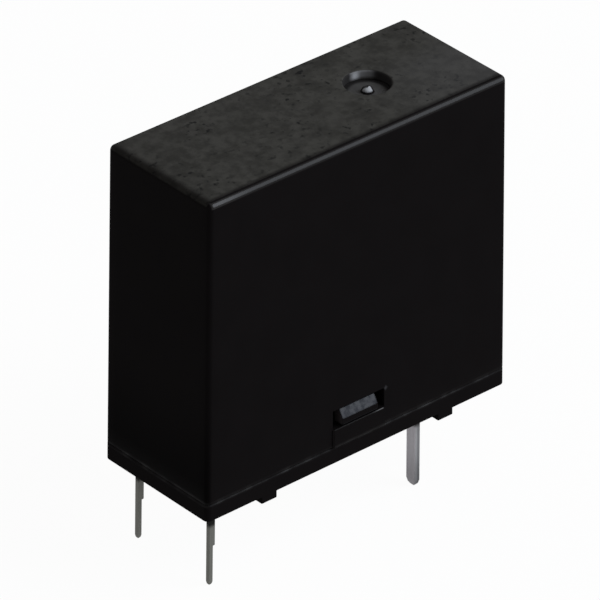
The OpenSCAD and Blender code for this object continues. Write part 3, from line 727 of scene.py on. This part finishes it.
def plastic_finish(name, rgb, roughness):
    """Pale moulded plastic with flow clouds and a fine grain."""
    finish = Finish(name, {})
    cloud = finish.noise(2 * MM, 4)
    grain = finish.noise(0.08 * MM, 2)
    finish.feed({
        "Base Color": finish.mix(cloud, shade(rgb, 0.9), shade(rgb, 1.08)),
        "Roughness": roughness - 0.05 + 0.1 * cloud,
        "Normal": finish.bump(grain, 3 * MICRON),
    })
    return finish.material


def dress(nodes, material):
    """Gives CAD nodes a finish."""
    for name in nodes:
        NODES[name].data.materials.clear()
        NODES[name].data.materials.append(material)


def ease_edges(nodes, width):
    """Joins a CAD node's loose triangles, clears the lines in its flat faces and rounds its edges."""
    for name in nodes:
        weld = NODES[name].modifiers.new("join", "WELD")
        weld.merge_threshold = MICRON / 2
        flat = NODES[name].modifiers.new("flat", "DECIMATE")
        flat.decimate_type = "DISSOLVE"
        flat.angle_limit = math.radians(1)
        bevel = NODES[name].modifiers.new("ease", "BEVEL")
        bevel.width = width
        bevel.segments = 2
        bevel.limit_method = "ANGLE"
        bevel.angle_limit = SMOOTH_BELOW
        bevel.use_clamp_overlap = False


def add_piece(name, points, faces, material):
    """Puts points and faces into a new mesh object at the origin, smooth apart from its sharp edges."""
    mesh = bpy.data.meshes.new(name)
    mesh.from_pydata(points.tolist(), [], faces)
    mesh.polygons.foreach_set("use_smooth", np.ones(len(faces), dtype=bool))
    mesh.set_sharp_from_angle(angle=SMOOTH_BELOW)
    mesh.materials.append(material)
    piece = bpy.data.objects.new(name, mesh)
    bpy.context.scene.collection.objects.link(piece)
    return piece


def stations(half, step, extra=()):
    """Places from -half to half about a step apart, with the extra places and their mirror images."""
    even = np.linspace(-half, half, round(2 * half / step) + 1)
    return np.unique(np.concatenate([even, extra, -np.array(extra)]))


def box_loops(half_x, half_y, radius, height, along, across, turns=8):
    """One loop for each level round a rectangle with round corners, counter-clockwise from above.
    The points stand at the stations along the straight sides, and each corner is a quarter circle
    in equal turns about its centre. Sizes are arrays with one row for each level."""
    half_x, half_y, radius, height = (np.asarray(a)[:, None] for a in (half_x, half_y, radius, height))
    level = np.ones_like(height)
    arc = np.linspace(0, math.pi / 2, turns + 1)

    def corner(side_x, side_y, start):
        x = side_x * (half_x - radius) + radius * np.cos(start + arc)
        y = side_y * (half_y - radius) + radius * np.sin(start + arc)
        return x, y

    runs = [
        (level * along, -half_y * np.ones_like(along)),
        corner(1, -1, -math.pi / 2),
        (half_x * np.ones_like(across), level * across),
        corner(1, 1, 0),
        (level * along[::-1], half_y * np.ones_like(along)),
        corner(-1, 1, math.pi / 2),
        (-half_x * np.ones_like(across), level * across[::-1]),
        corner(-1, -1, math.pi),
    ]
    x = np.concatenate([run[0] for run in runs], axis=1)
    y = np.concatenate([run[1] for run in runs], axis=1)
    return np.stack([x, y, height * np.ones_like(x)], axis=2)


def rings(centre, profile, bearing):
    """One circle for each (radius, height) of a profile, with its points at the given bearings."""
    radius, height = np.array(profile).T[:, :, None]
    x = centre[0] + radius * np.cos(bearing)
    y = centre[1] + radius * np.sin(bearing)
    return np.stack([x, y, height * np.ones_like(x)], axis=2)


def quarter(steps):
    """Sine and one minus cosine of equal turns from 0 to a quarter circle."""
    turn = np.linspace(0, math.pi / 2, steps + 1)
    return np.sin(turn), 1 - np.cos(turn)


class RELAY_OT_cover(bpy.types.Operator):
    """Make the moulded cover with its vent, latch windows and sill strips"""

    bl_idname = "relay.cover"
    bl_label = "Cover"

    def execute(self, context):
        points, faces = cover_surface(context.scene.relay_cover)
        cover = add_piece("moulded_cover", points, faces, CoverFinish(context.scene).material)
        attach(cover, "case")
        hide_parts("cover")
        return {"FINISHED"}


def cover_surface(sizes):
    """One closed stack of loops: from under the vent's boss along the ceiling, down the inner walls,
    round the lower lip, up the outer walls, over the round upper edge, across the roof, into the vent
    and up its nub. A level of the walls is (inset, height), and one of the vent is (radius, height).
    Then each latch window is cut through both walls and lined."""
    low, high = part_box("cover")
    half_x, half_y = high.x, high.y - sizes.sill_proud
    ceiling, floor = high.z - sizes.roof, high.z - sizes.vent_depth
    sill = low.z + sizes.sill_height
    lintel = sill + sizes.window_height
    jamb, easing, lip = sizes.window_length / 2, sizes.small_edge, sizes.lip
    columns = [jamb - easing, jamb, jamb + easing / 10, jamb + easing]
    along = stations(half_x - 2 * sizes.edge, sizes.grid, columns)
    across = stations(half_y - sizes.wall - sizes.edge, sizes.grid)

    rise, draw = quarter(8)
    inner = [(sizes.wall, z) for z in (ceiling, lintel, sill, low.z)]
    lip_middle = 0.3 * lip
    outer = [(lip, low.z), (lip_middle, low.z + lip_middle), (0, low.z + lip)]
    outer += [(0, sill - easing), (0, sill), (0, lintel + easing)]
    outer += [(0, high.z - sizes.edge - 2 * easing)]
    outer += list(zip(sizes.edge * draw, high.z - sizes.edge + sizes.edge * rise))
    outer += [(sizes.edge + 2 * easing, high.z)]
    inset, height = np.array(inner + outer).T
    radius = np.maximum(sizes.edge - inset, easing)
    walls = box_loops(half_x - inset, half_y - inset, radius, height, along, across)

    roof = walls[-1]
    centre = (sizes.vent_x, sizes.vent_y)
    bearing = np.arctan2(roof[:, 1] - sizes.vent_y, roof[:, 0] - sizes.vent_x)
    boss_z, boss_r = floor - sizes.vent_wall, sizes.vent_radius + sizes.vent_wall
    boss = rings(centre, [(boss_r / 2, boss_z), (boss_r, boss_z), (boss_r, ceiling)], bearing)
    vent = rings(centre, vent_profile(sizes, high.z, floor), bearing)
    roof_shares = np.array([0.15, 0.4, 0.65, 0.85])[:, None, None]
    roof_rings = roof + roof_shares * (vent[0] - roof)
    stack = np.concatenate([boss, walls, roof_rings, vent])

    first_outer = len(boss) + len(inner)
    push_sills(stack[first_outer:first_outer + len(outer)], sizes, half_y, sill)
    rows = {
        "inner_sill": len(boss) + inner.index((sizes.wall, sill)),
        "inner_lintel": len(boss) + inner.index((sizes.wall, lintel)),
        "outer_sill": first_outer + outer.index((0, sill)),
        "outer_lintel": first_outer + outer.index((0, lintel + easing)),
    }
    return close_stack(stack, rows, len(along), columns[-1], half_y - easing)


def vent_profile(sizes, top, floor):
    """Profile of the vent from its rim to its middle: a quarter circle into the recess, the wall, the floor,
    the nub's foot, its side as part of an ellipse, and the dimple on its top."""
    easing, lip, nub_r = sizes.small_edge, sizes.vent_lip, sizes.nub_radius
    nub_foot, nub_top = floor + 3 * easing, floor + sizes.nub_height
    rise, draw = quarter(8)
    profile = list(zip(sizes.vent_radius + lip * (1 - rise), top - lip * draw))
    profile += [(sizes.vent_radius, floor), (nub_r + 4 * easing, floor), (nub_r + easing, floor + easing)]
    turn = np.linspace(0, sizes.nub_dome, 10)
    profile += list(zip(nub_r * np.cos(turn), nub_foot + (nub_top - nub_foot) * np.sin(turn)))
    profile += [(sizes.dimple, nub_top - easing / 3), (0.4 * sizes.dimple, nub_top - 0.8 * sizes.dimple)]
    return profile


def push_sills(levels, sizes, half_y, sill):
    """Pushes the strip under each window out of the face: by its full depth inside the strip, four
    fifths of it on the strip's edge line and nothing beyond it."""
    jamb, easing = sizes.window_length / 2, sizes.small_edge
    steps = [1, 0.8, 0]
    inside_x = np.interp(abs(levels[:, :, 0]), [jamb - easing, jamb, jamb + easing / 10], steps)
    inside_z = np.interp(levels[:, :, 2], [sill - easing, sill, sill + easing], steps)
    on_face = abs(levels[:, :, 1]) > half_y - 2 * sizes.lip
    push = sizes.sill_proud * np.minimum(inside_x, inside_z) * on_face
    levels[:, :, 1] += np.sign(levels[:, :, 1]) * push


def lining_ring(outside, inside, lining_y, narrowed=0.985):
    """Loop just inside the face, between a window's loops outside and inside: the outer one, held
    within the inner one's height and a narrowed part of its length."""
    ring = outside.copy()
    ring[:, 0] = np.clip(ring[:, 0], narrowed * inside[:, 0].min(), narrowed * inside[:, 0].max())
    ring[:, 1] = np.sign(ring[:, 1]) * lining_y
    ring[:, 2] = np.clip(ring[:, 2], inside[:, 2].min(), inside[:, 2].max())
    return ring


def close_stack(stack, rows, long_count, edge_x, lining_y):
    """Joins the loops of a stack with quads, closes its two ends with fans and lines the windows.
    A window leaves out the cells between its rows and columns on the outer and the inner wall, and
    two bands of quads join both openings through the lining's ring."""
    levels, around = stack.shape[:2]
    index = np.arange(levels * around).reshape(levels, around)
    after = np.roll(index, -1, axis=1)
    quads = np.stack([index[:-1], after[:-1], after[1:], index[1:]], axis=2)
    keep = np.ones(quads.shape[:2], dtype=bool)
    points = [stack.reshape(-1, 3)]
    bands = []
    sill_x = stack[rows["outer_sill"], :long_count, 0]
    first = int(np.argmin(abs(sill_x + edge_x)))
    last = int(np.argmin(abs(sill_x - edge_x)))
    for side in (0, around // 2):
        span = np.arange(first, last + 1) + side
        keep[rows["outer_sill"], span[:-1]] = False
        keep[rows["inner_lintel"], span[:-1]] = False
        outside, inside = (
            np.concatenate([index[rows[f"{wall}_sill"], span], index[rows[f"{wall}_lintel"], span[::-1]]])
            for wall in ("outer", "inner")
        )
        ring = lining_ring(points[0][outside], points[0][inside], lining_y)
        middle = sum(len(p) for p in points) + np.arange(len(ring))
        points.append(ring)
        for near, far in ((outside, middle), (middle, inside)):
            bands.append(np.stack([near, np.roll(near, -1), np.roll(far, -1), far], axis=1))
    ends = []
    for loop, turned in ((index[0], True), (index[-1], False)):
        centre = sum(len(p) for p in points)
        points.append(points[0][loop].mean(axis=0, keepdims=True))
        pair = (np.roll(loop, -1), loop) if turned else (loop, np.roll(loop, -1))
        ends.append(np.stack([*pair, np.full(around, centre)], axis=1))
    faces = [face for group in (quads[keep], *bands, *ends) for face in group.tolist()]
    return np.concatenate(points), faces


class RELAY_OT_base(bpy.types.Operator):
    """Finish the moulded base and the resin that seals it"""

    bl_idname = "relay.base"
    bl_label = "Base"

    def execute(self, context):
        scene = context.scene
        dress(["base"], BaseFinish(scene).material)
        ease_edges(["base"], scene.relay_edges.base)
        resin = resin_finish(scene.relay_finishes.resin, scene.relay_resin, scene.relay_pins)
        dress(["sealing_resin"], resin)
        return {"FINISHED"}


class RELAY_OT_terminals(bpy.types.Operator):
    """Finish the tinned terminals"""

    bl_idname = "relay.terminals"
    bl_label = "Terminals"

    def execute(self, context):
        colours = context.scene.relay_finishes
        pins = context.scene.relay_pins
        coil_pins = ["coil_terminal_front", "coil_terminal_rear"]
        contact_pins = ["moving_terminal", "fixed_terminal"]
        dull, face, edge = colours.coil_pin, colours.contact_pin, colours.sheared
        sheet_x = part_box("moving_terminal")[0].x
        coil_tin = tin_finish("coil_tin", pins, dull, dull, CAD_BOX[0].x, pins.coil_painted_shadow, 0)
        contact_tin = tin_finish("contact_tin", pins, face, edge, sheet_x, pins.contact_painted_shadow, pins.painted_pin_light)
        dress(coil_pins, coil_tin)
        dress(contact_pins, contact_tin)
        ease_edges(coil_pins + contact_pins, context.scene.relay_edges.pins)
        return {"FINISHED"}


class RELAY_OT_coil(bpy.types.Operator):
    """Make the winding and its wire ends, and finish the former, tape and solder"""

    bl_idname = "relay.coil"
    bl_label = "Coil"

    def execute(self, context):
        colours = context.scene.relay_finishes
        sizes = context.scene.relay_coil
        wire = metal_finish("enamelled_wire", colours.copper, 0.32, EVEN)
        add_inner("wound_wire", *winding_surface(sizes), wire, "copper", "winding")
        for side in ("front", "rear"):
            path = tail_path(sizes, side)
            add_inner(f"wire_end_{side}", *tube(path, sizes.wire / 2), wire, "copper", f"coil_tail_{side}")
        dress(["bobbin"], plastic_finish("former_plastic", colours.former, 0.5))
        ease_edges(["bobbin"], context.scene.relay_edges.former)
        dress(["winding_tape"], plastic_finish("tape_film", colours.tape, 0.25))
        dress(["solder_front", "solder_rear"], metal_finish("solder", colours.solder, 0.25, EVEN))
        return {"FINISHED"}


def add_inner(name, points, faces, material, slot, node):
    """Adds a piece that rides on the case and stands for a CAD node."""
    piece = add_piece(name, points, faces, material)
    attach(piece, "case")
    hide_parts(node)


def winding_surface(sizes, turn_steps=8, around=48):
    """A closed profile turned about the core: up the outside over half circles, one for each turn of wire,
    and straight down the inside."""
    low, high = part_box("winding")
    inner, wire_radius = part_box("iron_core")[1].y - sizes.pole_overhang, sizes.wire / 2
    turns = round((high.z - low.z) / sizes.wire)
    pitch = (high.z - low.z) / turns
    swing = np.linspace(-math.pi / 2, math.pi / 2, turn_steps, endpoint=False)
    radius = high.y - wire_radius * (1 - np.cos(swing))
    height = low.z + pitch * (np.arange(turns)[:, None] + 0.5 + np.sin(swing) / 2)
    outside = np.column_stack([np.tile(radius, turns), height.ravel()])
    ends = [(high.y - wire_radius, high.z), (inner, high.z), (inner, low.z)]
    bearing = np.linspace(0, 2 * math.pi, around, endpoint=False)
    centre = ((low.x + high.x) / 2, 0)
    grid = rings(centre, [*outside, *ends], bearing)
    return grid.reshape(-1, 3), closed_quads(*grid.shape[:2])


def closed_quads(rows, columns):
    """Quads of a grid whose rows and columns both run back into themselves."""
    index = np.arange(rows * columns).reshape(rows, columns)
    beside = np.roll(index, -1, axis=1)
    quads = [index, beside, np.roll(beside, -1, axis=0), np.roll(index, -1, axis=0)]
    return np.stack(quads, axis=2).reshape(-1, 4).tolist()


def tail_path(sizes, side, run_steps=24, wrap_steps=150):
    """A wire end seen from above: along the winding's circle, off it on the tangent to the post, then round
    the post in a rising helix with a pitch of one wire."""
    low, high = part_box("winding")
    pin_low, pin_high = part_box("coil_terminal_rear")
    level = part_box("coil_tail_rear")[0].z + sizes.wire / 2
    pin = pin_high.y - pin_low.y
    axis = np.array([(low.x + high.x) / 2, 0])
    post = np.array([pin_low.x + pin / 2, (pin_low.y + pin_high.y) / 2])
    lie = high.y + sizes.wire / 2
    wrap = pin / math.sqrt(2) + sizes.wire / 2 + sizes.wrap_gap
    reach = post - axis
    leave = math.atan2(reach[1], reach[0]) - math.acos(lie / np.hypot(*reach))
    run = np.linspace(leave - sizes.run, leave, run_steps)
    arc = axis + lie * np.column_stack([np.cos(run), np.sin(run)])
    back = arc[-1] - post
    meet = math.atan2(back[1], back[0]) + math.acos(wrap / np.hypot(*back))
    turn = meet + np.linspace(0, 2 * math.pi * sizes.wraps, wrap_steps)
    helix = post + wrap * np.column_stack([np.cos(turn), np.sin(turn)])
    climb = level + sizes.wire * (turn - meet) / (2 * math.pi)
    flat = np.concatenate([arc, helix])
    height = np.concatenate([np.full(len(arc), level), climb])
    way = -1 if side == "front" else 1
    return np.column_stack([flat[:, 0], way * flat[:, 1], height])


def tube(path, radius, sides=10):
    """Round wire along a nearly level path: at each point a circle square to the way, with closed ends."""
    way = np.gradient(path, axis=0)
    way /= np.linalg.norm(way, axis=1, keepdims=True)
    beside = np.cross((0, 0, 1), way)
    beside /= np.linalg.norm(beside, axis=1, keepdims=True)
    above = np.cross(way, beside)
    turn = np.linspace(0, 2 * math.pi, sides, endpoint=False)[:, None]
    grid = path[:, None] + radius * (np.cos(turn) * beside[:, None] + np.sin(turn) * above[:, None])
    index = np.arange(len(path) * sides).reshape(-1, sides)
    after = np.roll(index, -1, axis=1)
    quads = np.stack([index[:-1], after[:-1], after[1:], index[1:]], axis=2).reshape(-1, 4)
    faces = quads.tolist() + [index[0, ::-1].tolist(), index[-1].tolist()]
    return grid.reshape(-1, 3), faces


def add_spring(name, node, joint, below, above, material, cuts=13):
    """Adds a spring: a merged copy of its CAD node, cut at even heights from below the joint's pivot to above
    it."""
    found = next(j for j in frame["record"]["behaviour"]["joints"] if j["name"] == joint)
    start = Vector(found["pos_m"]) - Vector((0, 0, below))
    end = Vector(found["pos_m"]) + Vector((0, 0, above))
    mesh = NODES[node].data.copy()
    sheet = bmesh.new()
    sheet.from_mesh(mesh)
    bmesh.ops.remove_doubles(sheet, verts=sheet.verts, dist=MICRON)
    for height in np.linspace(start.z, end.z, cuts):
        whole = [*sheet.verts, *sheet.edges, *sheet.faces]
        bmesh.ops.bisect_plane(sheet, geom=whole, plane_co=(0, 0, height), plane_no=(0, 0, 1))
    sheet.to_mesh(mesh)
    sheet.free()
    mesh.materials.clear()
    mesh.materials.append(material)
    mesh.set_sharp_from_angle(angle=SMOOTH_BELOW)
    piece = bpy.data.objects.new(name, mesh)
    bpy.context.scene.collection.objects.link(piece)
    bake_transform(piece)
    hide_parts(node)


class RELAY_OT_magnet(bpy.types.Operator):
    """Finish the core, yoke and armature and make the hinge spring's cut copy"""

    bl_idname = "relay.magnet"
    bl_label = "Magnet"

    def execute(self, context):
        colours = context.scene.relay_finishes
        bend = context.scene.relay_springs.hinge_bend
        iron = metal_finish("plated_iron", colours.iron, 0.38, GROUND_ALONG_Y)
        dress(["iron_core", "yoke", "armature"], iron)
        ease_edges(["yoke", "armature"], context.scene.relay_edges.iron)
        steel = metal_finish("spring_steel", colours.steel, 0.3, ROLLED_ALONG_Y)
        joint = "armature_hinge"
        add_spring("bending_hinge_spring", "hinge_spring", joint, bend, bend, steel)
        return {"FINISHED"}


class RELAY_OT_contacts(bpy.types.Operator):
    """Finish the card, rivets and contacts and make the contact spring's cut copy"""

    bl_idname = "relay.contacts"
    bl_label = "Contacts"

    def execute(self, context):
        colours = context.scene.relay_finishes
        bend = context.scene.relay_springs.leaf_bend
        dress(["card"], plastic_finish("card_plastic", colours.former, 0.45))
        ease_edges(["card"], context.scene.relay_edges.card)
        bronze = metal_finish("rolled_bronze", colours.bronze, 0.3, ROLLED_ALONG_Z)
        dress(["spring_rivets"], bronze)
        add_spring("bending_leaf", "contact_spring", "contact_leaf_flex", 0, bend, bronze)
        silver = metal_finish("satin_silver", colours.silver, 0.35, EVEN)
        dress(["moving_contact", "fixed_contact"], silver)
        return {"FINISHED"}


class RELAY_OT_stage(bpy.types.Operator):
    """Make the pale floor, the soft light and the camera"""

    bl_idname = "relay.stage"
    bl_label = "Stage"

    def execute(self, context):
        studio = context.scene.relay_studio
        context.scene.view_settings.view_transform = "Standard"
        lay_floor(studio)
        light_world(studio)
        hang_key(studio)
        set_camera(context.scene, studio)
        return {"FINISHED"}


def seen_directly(tree):
    """Light Path: 1 for what the camera, a reflection or glass sees, and 0 for light that falls on things."""
    path = tree.nodes.new("ShaderNodeLightPath")
    seen = path.outputs["Is Camera Ray"]
    for ray in ("Is Glossy Ray", "Is Transmission Ray"):
        either = tree.nodes.new("ShaderNodeMath")
        either.operation = "MAXIMUM"
        tree.links.new(seen, either.inputs[0])
        tree.links.new(path.outputs[ray], either.inputs[1])
        seen = either.outputs[0]
    return seen


def lay_floor(studio):
    """Flat square at the pins' tips, white where it is seen, pale where light falls on it and clear
    from below."""
    corner = np.array([[-1, -1], [1, -1], [1, 1], [-1, 1]]) * studio.floor_reach
    points = np.column_stack([corner, np.full(4, CAD_BOX[0].z)])
    finish = Finish("pale_floor", {"Base Color": studio.floor, "Roughness": 0.9, "Specular IOR Level": 0})
    tree = finish.tree
    white = tree.nodes.new("ShaderNodeEmission")
    blend = tree.nodes.new("ShaderNodeMixShader")
    share_of_white = Value(finish, seen_directly(tree)) * studio.floor_white
    tree.links.new(share_of_white.socket, blend.inputs[0])
    tree.links.new(finish.shader.outputs[0], blend.inputs[1])
    tree.links.new(white.outputs[0], blend.inputs[2])
    clear = tree.nodes.new("ShaderNodeBsdfTransparent")
    side = tree.nodes.new("ShaderNodeMixShader")
    tree.links.new(finish.node("ShaderNodeNewGeometry", output="Backfacing").socket, side.inputs[0])
    tree.links.new(blend.outputs[0], side.inputs[1])
    tree.links.new(clear.outputs[0], side.inputs[2])
    tree.links.new(side.outputs[0], tree.nodes["Material Output"].inputs["Surface"])
    floor = add_piece("floor", points, [[0, 1, 2, 3]], finish.material)


def light_world(studio):
    """Even grey light, seen as white."""
    world = bpy.data.worlds.new("studio")
    world.use_nodes = True
    tree = world.node_tree
    grey = tree.nodes["Background"]
    grey.inputs["Color"].default_value = (1, 1, 1, 1)
    grey.inputs["Strength"].default_value = studio.world_level
    white = tree.nodes.new("ShaderNodeBackground")
    white.inputs["Color"].default_value = (1, 1, 1, 1)
    blend = tree.nodes.new("ShaderNodeMixShader")
    tree.links.new(seen_directly(tree), blend.inputs[0])
    tree.links.new(grey.outputs[0], blend.inputs[1])
    tree.links.new(white.outputs[0], blend.inputs[2])
    tree.links.new(blend.outputs[0], tree.nodes["World Output"].inputs["Surface"])
    bpy.context.scene.world = world


def hang_key(studio):
    """Round soft lamp that faces the relay from the front right."""
    lamp = bpy.data.lights.new("key", "AREA")
    lamp.shape = "DISK"
    lamp.size = 2 * studio.key_radius
    lamp.energy = studio.key_power
    lamp.color = studio.key_tint
    key = bpy.data.objects.new("key", lamp)
    direction = Vector(studio.key_direction).normalized()
    key.location = Vector(studio.target) + studio.key_distance * direction
    key.rotation_euler = direction.to_track_quat("Z", "Y").to_euler()
    bpy.context.scene.collection.objects.link(key)


def set_camera(scene, studio):
    """Camera with an upright back: it looks down along forward, and its picture stands parallel to Z.
    Leaning the view axis by the target's distance from the picture's middle, over the focal length,
    puts the target on its column and row."""
    turn, tilt, roll = studio.azimuth, studio.elevation, studio.roll
    right = Vector((math.cos(turn), -math.sin(turn), 0))
    up = Vector((0, 0, 1))
    forward = Vector((math.sin(turn) * math.cos(tilt), math.cos(turn) * math.cos(tilt), -math.sin(tilt)))
    level = math.cos(roll) * right + math.sin(roll) * up
    upright = math.cos(roll) * up - math.sin(roll) * right
    middle = studio.picture / 2
    lean = (middle - studio.target_u) * level + (studio.target_v - middle) * upright
    axis = forward + lean / studio.focal
    lens = bpy.data.cameras.new("camera")
    lens.lens = lens.sensor_width * studio.focal * axis.length / studio.picture
    pose = Matrix((level, upright, -axis.normalized())).transposed().to_4x4()
    pose.translation = Vector(studio.target) - studio.distance * forward
    tripod = bpy.data.objects.new("tripod", None)
    camera = bpy.data.objects.new("camera", lens)
    for thing in (tripod, camera):
        scene.collection.objects.link(thing)
    camera.parent = tripod
    camera.matrix_parent_inverse = pose
    scene.camera = camera


class RELAY_PT_panel(bpy.types.Panel):
    """Lists the relay's pieces"""

    bl_label = "Board relay"
    bl_idname = "RELAY_PT_panel"
    bl_space_type = "VIEW_3D"
    bl_region_type = "UI"
    bl_category = "Relay"

    def draw(self, context):
        for operator in OPERATORS:
            self.layout.operator(operator.bl_idname)
        for group in GROUPS:
            settings = getattr(context.scene, group)
            for name in settings.__annotations__:
                self.layout.prop(settings, name)


OPERATORS = (
    RELAY_OT_stage, RELAY_OT_cover, RELAY_OT_base, RELAY_OT_terminals,
    RELAY_OT_coil, RELAY_OT_magnet, RELAY_OT_contacts,
)
GROUPS = {
    "relay_cover": CoverSizes, "relay_pins": PinSizes, "relay_resin": ResinSizes, "relay_coil": CoilSizes,
    "relay_springs": SpringSizes, "relay_edges": EasedEdges, "relay_wear": Wear, "relay_gloss": Gloss,
    "relay_finishes": Finishes, "relay_studio": Studio,
}


def register():
    """Registers the classes and gives each scene their settings."""
    for thing in (*GROUPS.values(), *OPERATORS, RELAY_PT_panel):
        bpy.utils.register_class(thing)
    for name, group in GROUPS.items():
        setattr(bpy.types.Scene, name, bpy.props.PointerProperty(type=group))


def unregister():
    """Takes the settings and the classes away again."""
    for name in GROUPS:
        delattr(bpy.types.Scene, name)
    for thing in (RELAY_PT_panel, *reversed(OPERATORS), *GROUPS.values()):
        bpy.utils.unregister_class(thing)


def main():
    """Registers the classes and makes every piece."""
    register()
    bpy.ops.relay.stage()
    bpy.ops.relay.cover()
    bpy.ops.relay.base()
    bpy.ops.relay.terminals()
    bpy.ops.relay.coil()
    bpy.ops.relay.magnet()
    bpy.ops.relay.contacts()


if __name__ == "__main__":
    main()
